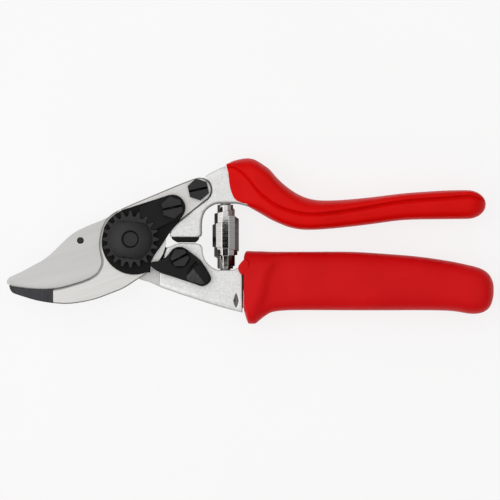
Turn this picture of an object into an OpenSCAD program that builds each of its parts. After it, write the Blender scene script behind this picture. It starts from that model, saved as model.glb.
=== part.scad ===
// Pruning shears with a revolving lower grip, closed and locked, lying on their back.
//
// The pivot axis is Z. X runs from the pivot towards the handles, Y from the lower
// handle towards the upper one, and Z = 0 is the surface that the shears lie on.
// The lower frame carries the cutting blade; the upper frame carries the hooked
// counter blade. Squeezing closes them. All lengths are millimetres, angles degrees.

/* [Frames] */
// Width across both grips, square to the blades
handle_w = 20; // [18:0.5:24]
// Thickness of the two forged frames
frame_t = 12; // [11:0.5:13]
// Radius of the lower frame's round head
head_r = 12.6; // [12:0.1:13]
// Inner radius of the upper frame, measured from the pivot
upper_inner_r = 16.2; // [15.8:0.1:16.6]
// Depth of the scoop in the lower frame's front face
scoop_depth = 0.8; // [0.3:0.1:1]
// Length of the scoop
scoop_len = 6.8; // [5:0.2:8]
// Slope of the broad chamfer along the lower frame's belly, in degrees
belly_slope = 14; // [8:1:18]

/* [Blades] */
// Thickness of the cutting blade
blade_t = 3; // [2.5:0.1:3.4]
// Thickness of the hooked counter blade
hook_t = 3.5; // [3:0.1:3.8]
// Radius of the cutting edge
edge_r = 39.5; // [38:0.5:42]
// Width of the ground bevel on the cutting blade
bevel_w = 4; // [2:0.5:5]
// Height of the flat land left at the cutting edge
edge_land = 0.3; // [0.2:0.1:0.6]
// Radius of the counter blade's heel
heel_r = 14.4; // [14:0.1:14.6]
// Radius of the tang's round end
tang_end_r = 5.1; // [4.9:0.1:5.3]
// How far the jaws open
open_angle = 32; // [20:1:33]
// Radius of the stud in the cutting blade
stud_r = 1.3; // [1:0.1:1.6]
// Radius of the rivets that hold the cutting blade
rivet_r = 1.6; // [1.2:0.1:2]

/* [Pivot] */
// Radius of the pivot bolt's shoulder
pivot_r = 4; // [3.6:0.1:4.6]
// Radius of the pivot bolt's threaded end
pivot_end_r = 3; // [2.6:0.1:3.2]
// Size across the flats of the pivot bolt's head
pivot_af = 13; // [12:0.5:16]
// Thickness of the pivot washer
pivot_washer_t = 0.8; // [0.5:0.1:1.2]
// Radius of the pivot washer
pivot_washer_r = 8.5; // [8:0.1:10]
// Number of teeth on the pivot nut
nut_teeth = 20; // [16:1:24]
// Radius over the nut's teeth
nut_tip_r = 11.6; // [11.2:0.1:12]
// Radius at the bottom of the nut's teeth
nut_root_r = 9.4; // [9.2:0.1:10]
// Thickness of the nut's toothed flange
nut_t = 2.6; // [2.2:0.1:3]
// Height of the nut's flatted boss above its flange
boss_h = 1.8; // [1:0.1:2.4]
// Size across the boss's flats
boss_af = 14.3; // [13:0.1:15]
// Thickness of the locking plate
plate_t = 1.6; // [1.2:0.1:2]

/* [Bolts] */
// Size across the flats of the slotted bolts
bolt_af = 8; // [7.5:0.1:8.3]
// Width across the flats of the catch bolt's smaller head
catch_bolt_af = 6.8; // [6:0.1:7]
// Height of the slotted bolts' heads
bolt_head_h = 2.8; // [2.4:0.1:3.4]
// Radius of the slotted bolts' shanks
bolt_r = 2.5; // [2:0.1:3]
// How deep the slotted bolts go into the frames
bolt_reach = 7; // [5:0.5:8]
// Width of the bolts' slots
slot_w = 0.8; // [0.6:0.1:1.4]
// Depth of the bolts' slots
slot_depth = 1.2; // [0.8:0.1:1.6]

/* [Catch] */
// Thickness of the catch lever
catch_t = 3.6; // [3.4:0.1:4.2]
// Height of the thumb pad above the lever
thumb_h = 1.4; // [0.8:0.1:2]
// Depth of the recess for the catch bolt's head
catch_recess = 1.5; // [1:0.1:1.8]
// Thickness of the friction washer under the catch bolt's head
catch_washer_t = 0.5; // [0.3:0.1:0.8]

/* [Spring and bumper] */
// Number of turns of the volute spring
spring_turns = 9; // [7:1:9]
// Width of the spring's strip
spring_strip_w = 2.4; // [2:0.1:2.6]
// Thickness of the spring's strip
spring_strip_t = 0.6; // [0.4:0.1:0.8]
// Outer radius of the spring at its middle
spring_mid_r = 5.7; // [5:0.1:5.8]
// Outer radius of the spring at its two ends
spring_end_r = 3.2; // [3.1:0.1:3.5]
// Radius of the two pegs that hold the spring
peg_r = 2.1; // [1.6:0.1:2.2]
// Length of the pegs
peg_h = 5; // [3:0.5:7]
// Thickness of the rubber bumper below the foot
bumper_t = 2.2; // [1.8:0.1:2.3]
// Depth of the bumper's stem in its groove
bumper_stem = 2.5; // [1.5:0.1:3]
// How far the stem stays inside the foot's front and back faces
bumper_stem_inset = 3; // [2:0.5:4]

/* [Upper coating] */
// Thickness of the coating over the core
coat_t = 2.2; // [1.8:0.1:2.6]
// Thickness of the coating at its front edge
coat_lip = 0.5; // [0.4:0.1:1]
// Thickness of the coating on the sides of the web
coat_side = 1.4; // [1:0.1:1.8]

/* [Revolving grip] */
// Radius of the axle that the grip turns on
axle_r = 3.5; // [3:0.1:4]
// Wall of the two bushings
bush_wall = 2; // [1.5:0.1:2.5]
// Length of the bushings
bush_len = 10; // [6:0.5:14]
// Thickness of the sleeve over the core
sleeve_t = 3; // [2.4:0.1:3.6]
// Where the grip's core ends
core_end_x = 140; // [136:0.5:142]
// Where the axle ends
axle_end_x = 130; // [120:0.5:132]
// How far the axle goes into the lower frame
axle_grip = 13; // [8:0.5:15]
// Thickness of the thrust washer between frame and grip
thrust_t = 0.4; // [0.3:0.1:0.8]
// Radius of the thrust washer
thrust_r = 10.8; // [8:0.1:11]
// Radius of the retaining washer at the axle's end
retain_r = 5; // [4.8:0.1:5.2]
// Thickness of the retaining washer
retain_t = 1; // [0.6:0.1:1.4]
// Radius of the retaining screw's shank
retain_screw_r = 2; // [1.5:0.1:2.2]
// Length of the retaining screw's thread
retain_screw_len = 11; // [8:0.5:14]
// Height of the retaining screw's head
retain_head_h = 2.4; // [1.6:0.1:3]
// Height of the lug that stands in front of the lower frame
lug_t = 3.4; // [2.4:0.1:3.6]

/* [Clearances] */
// Gap between the two blades
blade_gap = 0.05; // [0.03:0.01:0.08]
// Radial gap of shanks and axles in their holes
fit_gap = 0.05; // [0.02:0.01:0.08]
// Gap around inlaid, seated and sliding pieces
seat_gap = 0.1; // [0.05:0.01:0.15]
// Gap beside soft or swinging pieces
swing_gap = 0.3; // [0.2:0.05:0.35]

/* [Hidden] */

$fn = 96;
eps = 0.01;
cut = 40; // reaches past everything it cuts

// Heights of the layers
mid_z = handle_w / 2;
web_half_w = frame_t / 2 + coat_side;
frame_z = mid_z - frame_t / 2;
front_z = mid_z + frame_t / 2;
hook_z = front_z - hook_t;
blade_front = hook_z - blade_gap;
blade_z = blade_front - blade_t;
plate_front = front_z + plate_t;
nut_front = plate_front + nut_t;
pivot_head_h = frame_z - pivot_washer_t;
catch_z = front_z + seat_gap;
catch_front = catch_z + catch_t;
catch_seat = catch_front - catch_recess;

// Places in the plan
edge_c = [-33, 56.5 - edge_r];
tang_c = [28, 20.2];
tang_bolt_at = [27.65, 20.35];
segment_at = [17, 12.9];
catch_at = [20.1, -7.6];
stud_at = [-20.75, -0.5];
rivets_at = [[8.6, -6.2], [2.6, -9.6]];
spring_x = 38.7;
foot_y = 0.9;
stop_y = foot_y - bumper_t - swing_gap;
step_x = 11.75;
grip_y = -17.5;
frame_end_x = 45.7;
grip_x = frame_end_x + thrust_t + seat_gap;
bush_r = axle_r + fit_gap + bush_wall;
lower_seat_y = -12.6;
upper_seat_y = 14.6;

// Outlines: only the points that each shape needs, joined by smooth curves.
// Upper edge of the cutting blade, from its tip to its head
spine = [[-50.9, -17], [-50, -15.75], [-48, -14.75], [-44, -12.9], [-40, -10.7], [-36, -8.5],
    [-32, -5.2], [-28, -1.3], [-24, 2.2], [-20, 4.5], [-16, 6.2], [-12, 7.75], [-9, 9.3]];
// What lies below the cutting blade's upper edge, before its cutting edge is cut round
below_spine = [[-4, 11], [0, 0], [-4, -20], [-20, -30], [-50.6, -30]];
// Outer edge of the counter blade, from its tip to its heel
hook_outer = [[-50, -18.8], [-49.6, -20.1], [-48.5, -21.8], [-46, -22.85], [-42, -24.1],
    [-38, -25.2], [-32, -26.15], [-26, -26.5], [-20, -25.8], [-14, -24.4], [-8.6, -22.4],
    [-2.8, -20], [2.2, -16.8], [6, -14.3], [9.3, -11]];
// Inner edge of the counter blade, from its plate to its tip
hook_inner = [[-6.8, 11], [-8, 10.2], [-9.5, 8.8], [-10.6, 7.6], [-11.8, 5], [-12.6, 2.2],
    [-13.1, -1.3], [-12.9, -4.8], [-12.1, -8.5], [-12.3, -10.5], [-13.2, -12.6],
    [-14.6, -14.3], [-18, -16.3], [-24, -18.3], [-30, -19.8], [-36, -20.2], [-42, -19.9],
    [-46, -19.4]];
// Window of the upper frame, from the foot to the coating
upper_window = [[29.2, 2.4], [29.1, 5], [29.3, 7.9], [30, 10.5], [31.2, 12.2], [32.9, 13.5],
    [34.6, 14.3], [36.2, upper_seat_y]];
// Window of the lower frame, from the stop block to the spring seat
lower_window = [[35.6, lower_seat_y], [34.5, -12.2], [32.6, -11.1], [31, -9.4], [30, -7.6],
    [29.4, -5.4], [29.3, -3.4]];
// Lower edge of the lower frame, from its neck to the grip
lower_edge = [[-3, -12.8], [0, -15], [4, -16.6], [8, -17.8], [12, -19.6], [16, -21.1],
    [24, -23.8], [36, -27.6], [frame_end_x, -30.1]];
// Lower right edge of the locking plate, from its step to its arm
plate_edge = [[8.15, -9.5], [8.8, -8.2], [10, -6], [12.1, -3.2], [14.6, 0.6], [16.8, 3.8],
    [19, 6.3], [21, 9.2]];
// Upper left edge of the locking plate, round the nut's teeth
plate_shoulder = [[2.7, 14], [-0.4, 12.95], [-3.5, 11.95], [-6.4, 10.25], [-9, 7.9], [-10.9, 4.9]];
// The catch lever's whole outline
catch_points = [[8.1, -9.5], [10, -9.1], [12.1, -8.65], [14, -7.6], [15.3, -6.35],
    [17, -4.2], [18.5, -3.3], [20, -3.1], [21.7, -3.4], [25.1, -5.75], [28.6, -8.65],
    [31.2, -12.4], [32.9, -15.6], [32.7, -17], [31.9, -18], [30.6, -18.9], [29.5, -19.2],
    [28.3, -19.1], [26.3, -18.35], [18, -15.6], [12.1, -13.7], [9, -11.7], [8.1, -10.7]];

// The lug on the lower grip's collar
lug_points = [[49.5, -8.6], [46.9, -7.6], [46.3, -8.3], [45.2, -9.4], [44.1, -10.8], [43.9, -12],
    [44.3, -13.4], [45.4, -14.6], [46.9, -14.7], [49.5, -14]];
// The end of the lower grip's core, below and above the axle
core_tail = [[core_end_x, -26], [core_end_x, -15]];
core_low_y = -30; // the core doesn't follow the collar's flare below this
core_corner = 0.5; // keeps the core's corners inside the rounded grips

// Upper grip, from its front edge to its rounded end:
// [top x, top y, bottom x, bottom y, share of the height that the palm rest takes]
palm_stations = [[39.2, 30.6, 43, 14.5, 0.12], [43, 32.5, 45.5, 14, 0.23],
    [47.4, 33.3, 48, 13.2, 0.41], [50.8, 32.7, 50.5, 12, 0.55], [54, 30.8, 52.9, 10.7, 0.64],
    [57, 28.6, 55.2, 9.3, 0.66], [60, 25.1, 57.5, 8, 0.66], [64, 21.5, 61, 6.4, 0.65],
    [69.3, 18.1, 66, 4.6, 0.58], [75.9, 16.1, 73, 3.8, 0.56], [85.7, 16.1, 85, 4.6, 0.46],
    [98.9, 17.3, 98.9, 6.2, 0.34], [112, 18.9, 112, 7.9, 0.32], [128, 20, 128, 8.2, 0.29],
    [138, 20.2, 138, 8.3, 0.24]];
palm_end = 7.6; // length of the rounded end
// Lower grip, from its collar to its rounded end: [x, top y, bottom y, half width]
sleeve_stations = [[0, -7.2, -27.5, -0.8], [0.8, -5.6, -31, -0.3], [2, -4.8, -33.9, 0],
    [3.6, -4.8, -34.75, 0], [5.4, -4.9, -34.3, 0], [7, -4.9, -33.2, -0.2],
    [9.2, -5, -31.65, -0.8], [11.5, -5.1, -30.5, -0.9], [15, -5.1, -29.7, -0.4],
    [20, -5.1, -29.25, 0], [44, -5.1, -29.2, 0], [59, -6, -29.2, 0], [72, -7.1, -29.15, 0],
    [85, -9, -29.4, 0], [92, -10.5, -30.5, 0], [96, -11.5, -30.55, -0.2],
    [99.2, -13, -29.5, -1.2], [101.4, -15.4, -27.2, -3.4], [102.6, -18.6, -23, -7]];

// A point at t on the curve through points i and i + 1 of p
function between(p, i, t) =
    let (a = p[max(i - 1, 0)], b = p[i], c = p[i + 1], d = p[min(i + 2, len(p) - 1)])
    (2 * b + (c - a) * t + (2 * a - 5 * b + 4 * c - d) * t * t
        + (3 * b - a - 3 * c + d) * t * t * t) / 2;
// A smooth curve through all points of p, with n steps between each two
function smooth(p, n = 3) =
    concat([for (i = [0 : len(p) - 2], k = [0 : n - 1]) between(p, i, k / n)], [p[len(p) - 1]]);
// An arc about c with radius r, from angle a to angle b
function arc(c, r, a, b, n = 12) =
    [for (k = [0 : n]) let (t = a + (b - a) * k / n) c + r * [cos(t), sin(t)]];
function reversed(p) = [for (i = [len(p) - 1 : -1 : 0]) p[i]];
// The anticlockwise outline p grown by d along its own normals
function grown(p, d) = [for (i = [0 : len(p) - 1])
    let (v = p[(i + 1) % len(p)] - p[(i + len(p) - 1) % len(p)])
    p[i] + d * [v[1], -v[0]] / norm(v)];

module slab(points, z0, z1) {
    translate([0, 0, z0])
        linear_extrude(z1 - z0)
            polygon(points);
}

module post(at, r, z0, z1) {
    translate([at[0], at[1], z0])
        cylinder(r = r, h = z1 - z0);
}

// A rod along X on the axle's line
module rod(r, x0, x1) {
    translate([x0, grip_y, mid_z])
        rotate([0, 90, 0])
            cylinder(r = r, h = x1 - x0);
}

module tube_x(r_out, r_in, x0, x1) {
    difference() {
        rod(r_out, x0, x1);
        rod(r_in, x0 - 1, x1 + 1);
    }
}

// A closed skin over rings that all have the same number of points
module skin(rings) {
    n = len(rings[0]);
    m = len(rings);
    polyhedron(
        points = [for (ring = rings) each ring],
        faces = concat(
            [[for (k = [n - 1 : -1 : 0]) k]],
            [for (i = [0 : m - 2], k = [0 : n - 1])
                let (a = i * n + k, b = i * n + (k + 1) % n)
                each [[a, b, b + n], [a, b + n, a + n]]],
            [[for (k = [0 : n - 1]) (m - 1) * n + k]]));
}

// Hexagon head with a chamfered top and a screwdriver slot, standing on z = 0
module slotted_head(af, turn, slot_turn) {
    corner_r = af / 2 / cos(30);
    difference() {
        intersection() {
            rotate([0, 0, turn])
                cylinder(r = corner_r, h = bolt_head_h, $fn = 6);
            cylinder(r1 = corner_r + bolt_head_h, r2 = corner_r - 0.2, h = bolt_head_h);
        }
        translate([0, 0, bolt_head_h - slot_depth / 2 + eps])
            rotate([0, 0, slot_turn])
                cube([2 * af, slot_w, slot_depth], center = true);
    }
}

module slotted_bolt(at, af, seat_z, end_z, turn, slot_turn) {
    translate([at[0], at[1], seat_z])
        slotted_head(af, turn, slot_turn);
    post(at, bolt_r, end_z, seat_z + eps);
}

// Plan of the counter blade: hook, round heel, tang and inner edge
function anvil_outline() = concat(
    smooth(hook_outer),
    arc([0, 0], heel_r, -42, 4, 10),
    [[17.4, 5.4], [20.3, 7.7], [26, 12.1]],
    arc(tang_c, tang_end_r, -60, 90, 14),
    [[25.8, 24.8], [20, 22.6], [12, 19.2], [6, 16.7], [0, 14.2], [-4, 12.4]],
    smooth(hook_inner));

// Plan of the cutting blade's head and tang
function tang_outline() = concat(
    [[step_x, -19.1], [step_x, -13]],
    arc([0, 0], head_r, -38, 200, 30),
    [[-11.6, -9], [-3, -14.6], [4, -16.3], [8, -17.5]]);

function nut_outline() =
    let (pitch = 360 / nut_teeth)
    [for (i = [0 : nut_teeth - 1])
        each [for (s = [[nut_root_r, -0.34], [nut_tip_r, -0.13], [nut_tip_r, 0.13],
            [nut_root_r, 0.34]]) let (t = (i + s[1]) * pitch) s[0] * [cos(t), sin(t)]]];

// The palm rest's width at height share h, on a grip whose rest takes the top share c
function palm_w(h, c) =
    let (t = min(1, max(0, (h - 1 + c) / 0.16 + 0.5)))
    web_half_w + (mid_z - web_half_w) * t * t * (3 - 2 * t);
// One ring of the outer skin; a low bend makes it nearly square, a high one oval
function palm_ring(s, shrink, bend) = [for (k = [0 : 27])
    let (a = k * 360 / 28, h = (1 - cos(a) * shrink) / 2,
        p = [s[2], s[3]] + h * [s[0] - s[2], s[1] - s[3]],
        side = sin(a) < 0 ? -1 : 1)
    [p[0], p[1], mid_z + side * shrink * palm_w(h, s[4]) * pow(abs(sin(a)), bend)]];
palm_curve = smooth(palm_stations, 2);
palm_last = palm_stations[len(palm_stations) - 1];
// Thickness of the coating's top and bottom walls at the ring number i
function palm_wall(i) = coat_lip + (coat_t - coat_lip) * min(1, i / 5);
// Half width of the core's flange there, under the palm rest
function flange_half(i) = frame_t / 2 + (mid_z - coat_t - core_corner - frame_t / 2) * min(1, (i + 1) / 5);
// The height share h of the ring number i, on the middle plane
function palm_at(i, h) =
    let (s = palm_curve[i]) [s[2], s[3]] + h * [s[0] - s[2], s[1] - s[3]];
function palm_share(i, d) =
    let (s = palm_curve[i]) d / norm([s[0] - s[2], s[1] - s[3]]);
// One ring of the coating's T-shaped cavity, with as many points as a ring of its skin
function cavity_ring(i) =
    let (low = palm_share(i, palm_wall(i)), high = 1 - low,
        step = 1 - palm_curve[i][4] - palm_share(i, seat_gap),
        web = frame_t / 2 + seat_gap, flange = flange_half(i) + seat_gap,
        bulge = seat_gap / 2,
        side = concat(
            [for (j = [0 : 6]) [low + (step - low) * j / 6, web + bulge * sin(30 * j)]],
            [for (j = [0 : 5]) [step + (high - step) * j / 5, flange + bulge * sin(36 * j)]]),
        ring = concat([[low - palm_share(i, bulge), 0]], side, [[high + palm_share(i, bulge), 0]],
            [for (p = reversed(side)) [p[0], -p[1]]]))
    [for (p = ring) let (q = palm_at(i, p[0])) [q[0], q[1], mid_z + p[1]]];

// The flange along the top of the forged bar inside the upper grip, in steps of rising width
module palm_flange() {
    n = len(palm_curve) - 1;
    for (part = [[2, 4], [4, n]]) {
        top = [for (i = [part[0] : part[1]])
            palm_at(i, 1 - palm_share(i, palm_wall(i) + seat_gap))];
        low = [for (i = [part[0] : part[1]]) palm_at(i, 1 - palm_curve[i][4])];
        slab(concat(low, reversed(top)), mid_z - flange_half(part[0]),
            mid_z + flange_half(part[0]));
    }
}

// The upper frame's plan: foot, window, the bar inside the grip, and back along the tang
function upper_outline() =
    let (n = len(palm_curve) - 1)
    concat(
        arc([0, 0], upper_inner_r, 62, 4, 16),
        [[upper_inner_r + 0.15, foot_y], [28.2, foot_y], [28.9, 1.3]],
        smooth(upper_window),
        [[41.8, upper_seat_y]],
        [for (i = [0 : n]) palm_at(i, palm_share(i, palm_wall(i) + seat_gap))],
        [for (i = [n : -1 : 0]) palm_at(i, 1 - palm_share(i, palm_wall(i) + seat_gap))],
        [[38, 29.7], [36, 28.8], [32, 26.8], [29.8, 25.2], [25.8, 24.8], [20, 22.6],
            [12, 19.2], [8.6, 17.8]]);

// The lower frame's plan, from its neck round the grip's end, spring seat and stop block
function lower_outline() = concat(
    smooth(lower_edge),
    [[frame_end_x, -11.4], [43.5, -11.8], [42, lower_seat_y]],
    smooth(lower_window),
    [[28.4, stop_y - 0.5], [26, stop_y], [20, stop_y], [18, stop_y - 0.5], [16.2, -3],
        [14.4, -3.4], [12.6, -1]],
    arc([0, 0], head_r, 0, 240, 40));

// Space that the counter blade sweeps, from shut to fully open
module hook_sweep() {
    translate([0, 0, hook_z - seat_gap])
        for (turn = [0, open_angle + 1.5])
            rotate([0, 0, turn])
                linear_extrude(cut)
                    polygon(grown(anvil_outline(), swing_gap + seat_gap));
    post([0, 0], heel_r + 0.7, hook_z - seat_gap, cut);
}

module lower_handle() {
    color("#d9d9d7") difference() {
        union() {
            slab(lower_outline(), frame_z, front_z);
            translate([spring_x, lower_seat_y - 1, mid_z])
                rotate([-90, 0, 0])
                    cylinder(r = peg_r, h = peg_h + 1);
        }
        // everything above the head is left free for the blades
        post([0, 0], head_r + 0.8, blade_z, cut);
        slab(grown(tang_outline(), seat_gap), blade_z, cut);
        // no thin lip is left below the blade's tang
        slab([[3, -15], [11.8, -18], [11.8, -21], [3, -21]], blade_z, cut);
        translate([-cut, -cut, blade_z])
            cube([cut + 4, 2 * cut, cut]);
        hook_sweep();
        post([0, 0], pivot_r + fit_gap, -1, cut);
        post(catch_at, bolt_r + fit_gap, front_z - bolt_reach - seat_gap, cut);
        for (at = rivets_at) {
            post(at, rivet_r + fit_gap, -1, cut);
            translate([at[0], at[1], frame_z - eps])
                cylinder(r1 = 2 * rivet_r + fit_gap, r2 = rivet_r + fit_gap, h = rivet_r);
        }
        rod(axle_r + fit_gap, frame_end_x - axle_grip - seat_gap, cut * 2);
        // a broad chamfer along the belly, on the front face
        translate([13.2, -18, front_z])
            rotate([belly_slope, 0, -17.4])
                translate([-6, -8, 0])
                    cube([50, 8, 5]);
        // a long scoop on the front face, beside the grip
        for (turn = [-90, 90])
            translate([43.1, -25.2, front_z + 1.2 - scoop_depth])
                rotate([turn, 0, 0])
                    cylinder(r1 = 1.2, r2 = 1.15 - scoop_depth, h = scoop_len / 2);
    }
}

module cutting_blade() {
    color("#b9b8b6") difference() {
        union() {
            slab(tang_outline(), blade_z, blade_front);
            intersection() {
                slab(concat(smooth(spine), below_spine), blade_z, blade_front);
                post(edge_c, edge_r, blade_z - 1, blade_front + 1);
            }
        }
        // the bevel is ground on the back face, so the flat face slides on the counter blade
        translate([edge_c[0], edge_c[1], 0])
            rotate_extrude($fn = 192)
                polygon([[edge_r - bevel_w, blade_z - eps], [edge_r + 1, blade_z - eps],
                    [edge_r + 1, blade_front - edge_land], [edge_r, blade_front - edge_land]]);
        post([0, 0], pivot_r + fit_gap, -1, cut);
        post(stud_at, stud_r + fit_gap, -1, cut);
        for (at = rivets_at)
            post(at, rivet_r + fit_gap, -1, cut);
    }
}

module blade_rivets() {
    color("#8c8c8c") for (at = rivets_at) {
        post(at, rivet_r, frame_z, blade_front);
        translate([at[0], at[1], frame_z])
            cylinder(r1 = 2 * rivet_r, r2 = rivet_r, h = rivet_r);
    }
}

module blade_stud() {
    color("#333333") {
        post(stud_at, stud_r, blade_z, blade_front + 0.1);
        translate([stud_at[0], stud_at[1], blade_front])
            cylinder(r1 = stud_r, r2 = stud_r - 0.4, h = 0.4);
    }
}

module upper_handle() {
    color("#dededc") difference() {
        union() {
            slab(upper_outline(), frame_z, front_z);
            palm_flange();
            translate([spring_x, upper_seat_y + 1, mid_z])
                rotate([90, 0, 0])
                    cylinder(r = peg_r, h = peg_h + 1);
        }
        slab(grown(anvil_outline(), seat_gap), hook_z, cut);
        post(tang_bolt_at, bolt_r + fit_gap, front_z - bolt_reach - seat_gap, cut);
        post(segment_at, bolt_r + fit_gap, front_z - bolt_reach - seat_gap, cut);
        bumper_stem(seat_gap);
    }
}

// The coating is one cup: its cavity from the closed end to the mouth, then its outer skin
module upper_coating() {
    n = len(palm_curve) - 1;
    color("#d21a1c") skin(concat(
        [for (i = [n : -1 : 0]) cavity_ring(i)],
        [for (i = [0 : n]) palm_ring(palm_curve[i], 1, 0.1 + 0.16 * min(1, i / 6))],
        [for (k = [1 : 5]) palm_ring(palm_last + palm_end * sin(17.6 * k) * [1, 0, 1, 0, 0],
            cos(17.6 * k), 0.26)]));
}

module anvil_blade() {
    color("#d3d2d0") difference() {
        slab(anvil_outline(), hook_z, front_z);
        post([0, 0], pivot_r + fit_gap, -1, cut);
        post(tang_bolt_at, bolt_r + fit_gap, -1, cut);
        post(segment_at, bolt_r + fit_gap, -1, cut);
    }
}

module tang_bolt() {
    color("#2e2e2e") slotted_bolt(tang_bolt_at, bolt_af, front_z,
        front_z - bolt_reach, 42, 12.7);
}

module segment_bolt() {
    color("#2e2e2e") slotted_bolt(segment_at, bolt_af, nut_front,
        front_z - bolt_reach, 42, 12);
}

module toothed_segment() {
    color("#262626") difference() {
        union() {
            post(segment_at, 5.2, plate_front, nut_front);
            slab([[3, 9], [4, 13.3], [10, 15.8], [14.6, 17.5], [20, 16], [21.4, 10.2],
                [20, 8.8], [18, 7.7], [14.3, 6.1], [10, 3.9], [7, 3.9]], plate_front, nut_front);
        }
        slab(grown(nut_outline(), seat_gap), plate_front - 1, nut_front + 1);
        post(segment_at, bolt_r + fit_gap, 0, cut);
    }
}

module locking_plate() {
    lobe_c = [1.4, -1.2];
    lobe_r = 13.3;
    color("#1f1f1f") difference() {
        union() {
            slab(concat(arc(lobe_c, lobe_r, 165, 290, 26),
                [[8, -13.6]],
                smooth(plate_edge),
                arc(segment_at, 5.4, -30, 105, 12),
                [[10, 16.3], [6, 15]],
                smooth(plate_shoulder)),
                front_z, plate_front);
        }
        post([0, 0], pivot_r + fit_gap, 0, cut);
        post(segment_at, bolt_r + fit_gap, 0, cut);
    }
}

module toothed_nut() {
    color("#343434") difference() {
        union() {
            slab(nut_outline(), plate_front, nut_front);
            intersection() {
                post([0, 0], nut_root_r, nut_front - eps, nut_front + boss_h);
                translate([0, 0, nut_front])
                    rotate([0, 0, -6])
                        cube([cut, boss_af, 3 * boss_h], center = true);
            }
        }
        post([0, 0], pivot_end_r + fit_gap, 0, cut);
        translate([0, 0, nut_front + boss_h - 0.5])
            cylinder(r1 = pivot_end_r, r2 = pivot_end_r + 0.6, h = 0.5 + eps);
    }
}

module pivot_bolt() {
    corner_r = pivot_af / 2 / cos(30);
    color("#303030") {
        intersection() {
            cylinder(r = corner_r, h = pivot_head_h, $fn = 6);
            cylinder(r1 = corner_r - 0.6, r2 = corner_r + pivot_head_h, h = pivot_head_h);
        }
        post([0, 0], pivot_r, pivot_head_h - eps, plate_front - seat_gap);
        post([0, 0], pivot_end_r, plate_front - 1, nut_front + boss_h - 0.2);
    }
}

module pivot_washer() {
    color("#9a9a98") difference() {
        post([0, 0], pivot_washer_r, pivot_head_h, frame_z);
        post([0, 0], pivot_r + fit_gap, 0, cut);
    }
}

// The stem that holds the bumper in a blind groove of the foot
module bumper_stem(gap) {
    half = frame_t / 2 - bumper_stem_inset + gap;
    top = foot_y + bumper_stem + gap;
    slab([[20 - gap, foot_y - 1], [25 + gap, foot_y - 1], [25 + gap, top], [20 - gap, top]],
        mid_z - half, mid_z + half);
}

module bumper() {
    low_y = foot_y - bumper_t;
    color("#181818") {
        slab([[16.5, foot_y], [16.9, foot_y - 0.9], [18.9, low_y], [26.5, low_y],
            [27.8, foot_y - 1], [28, foot_y]], frame_z + swing_gap, front_z - swing_gap);
        bumper_stem(0);
    }
}

module catch_lever() {
    color("#262626") difference() {
        union() {
            slab(smooth(concat(catch_points, [catch_points[0]]), 2), catch_z, catch_front);
            // raised pad for the thumb
            slab([[28.2, -10], [30.6, -12.4], [32, -15.4], [31.8, -17], [30.4, -18.2],
                [28.6, -18.4], [26.2, -17.7], [23.3, -16.7], [22.8, -15.2], [26.6, -10.9]],
                catch_front - eps, catch_front + thumb_h);
        }
        // the nose passes over the locking plate
        post([0, 0], upper_inner_r + 0.1, catch_z - 1, plate_front + seat_gap);
        post(catch_at, bolt_r + fit_gap, 0, cut);
        post(catch_at, catch_bolt_af / 2 / cos(30) + 0.2, catch_seat, cut);
        // groove between the lever and its thumb pad
        translate([25.2, -11.6, catch_front])
            rotate([0, 0, -41.5])
                rotate([0, 45, 0])
                    cube([1.2, 5.8, 1.2], center = true);
    }
}

module catch_bolt() {
    color("#303030")
        slotted_bolt(catch_at, catch_bolt_af, catch_seat + catch_washer_t,
            front_z - bolt_reach, 0, 28);
}

module catch_washer() {
    color("#6f6f6d") difference() {
        post(catch_at, catch_bolt_af / 2, catch_seat, catch_seat + catch_washer_t);
        post(catch_at, bolt_r + fit_gap, 0, cut);
    }
}

// A flat strip wound in a coil that is wide in its middle and narrow at both ends
module volute_spring() {
    y0 = lower_seat_y + swing_gap;
    y1 = upper_seat_y - swing_gap - spring_strip_w;
    steps = 20;
    turns = spring_turns * steps;
    color("#b8b6b4") skin([for (i = [0 : turns])
        let (t = i / turns, a = 360 * i / steps,
            r = spring_end_r + (spring_mid_r - spring_end_r) * min(1, 1.5 * sin(180 * t)),
            y = y0 + (y1 - y0) * t,
            in = r - spring_strip_t)
        [for (c = [[r, 0], [in, 0], [in, spring_strip_w], [r, spring_strip_w]])
            [spring_x + c[0] * cos(a), y + c[1], mid_z + c[0] * sin(a)]]]);
}

module grip_axle() {
    color("#a5a5a3") difference() {
        rod(axle_r, frame_end_x - axle_grip, axle_end_x);
        rod(retain_screw_r + fit_gap, axle_end_x - retain_screw_len - seat_gap, axle_end_x + 1);
    }
}

// The grip's rigid core, without its bores, grown by gap
module core_body(gap) {
    inner = [for (s = smooth(sleeve_stations, 2)) if (grip_x + s[0] < core_end_x) s];
    top = [for (s = inner) [grip_x + s[0], s[1] - sleeve_t + gap]];
    low = [for (s = inner) [grip_x + s[0], max(s[2], core_low_y) + sleeve_t - gap]];
    tail = [for (p = core_tail) [core_end_x + gap, p[1]]];
    half = mid_z - sleeve_t - core_corner + gap;
    slab(concat(low, tail, reversed(top)), mid_z - half, mid_z + half);
}

module grip_core() {
    color("#6b6b6b") difference() {
        core_body(0);
        rod(axle_r + 0.8, 0, axle_end_x);
        rod(bush_r + fit_gap, 0, grip_x + bush_len);
        rod(bush_r + fit_gap, axle_end_x - seat_gap - bush_len, core_end_x - 2);
    }
}

// The sleeve's outer skin: flared collar, waist, barrel and rounded end
module grip_skin() {
    skin([for (s = smooth(sleeve_stations, 2))
        let (c = (s[1] + s[2]) / 2, h = (s[1] - s[2]) / 2, w = mid_z + s[3])
        [for (k = [0 : 31])
            let (a = k * 360 / 32, cs = cos(a), sn = sin(a))
            [grip_x + s[0], c - (cs < 0 ? -1 : 1) * h * pow(abs(cs), 0.7),
                mid_z + (sn < 0 ? -1 : 1) * w * pow(abs(sn), 0.7)]]]);
}

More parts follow.
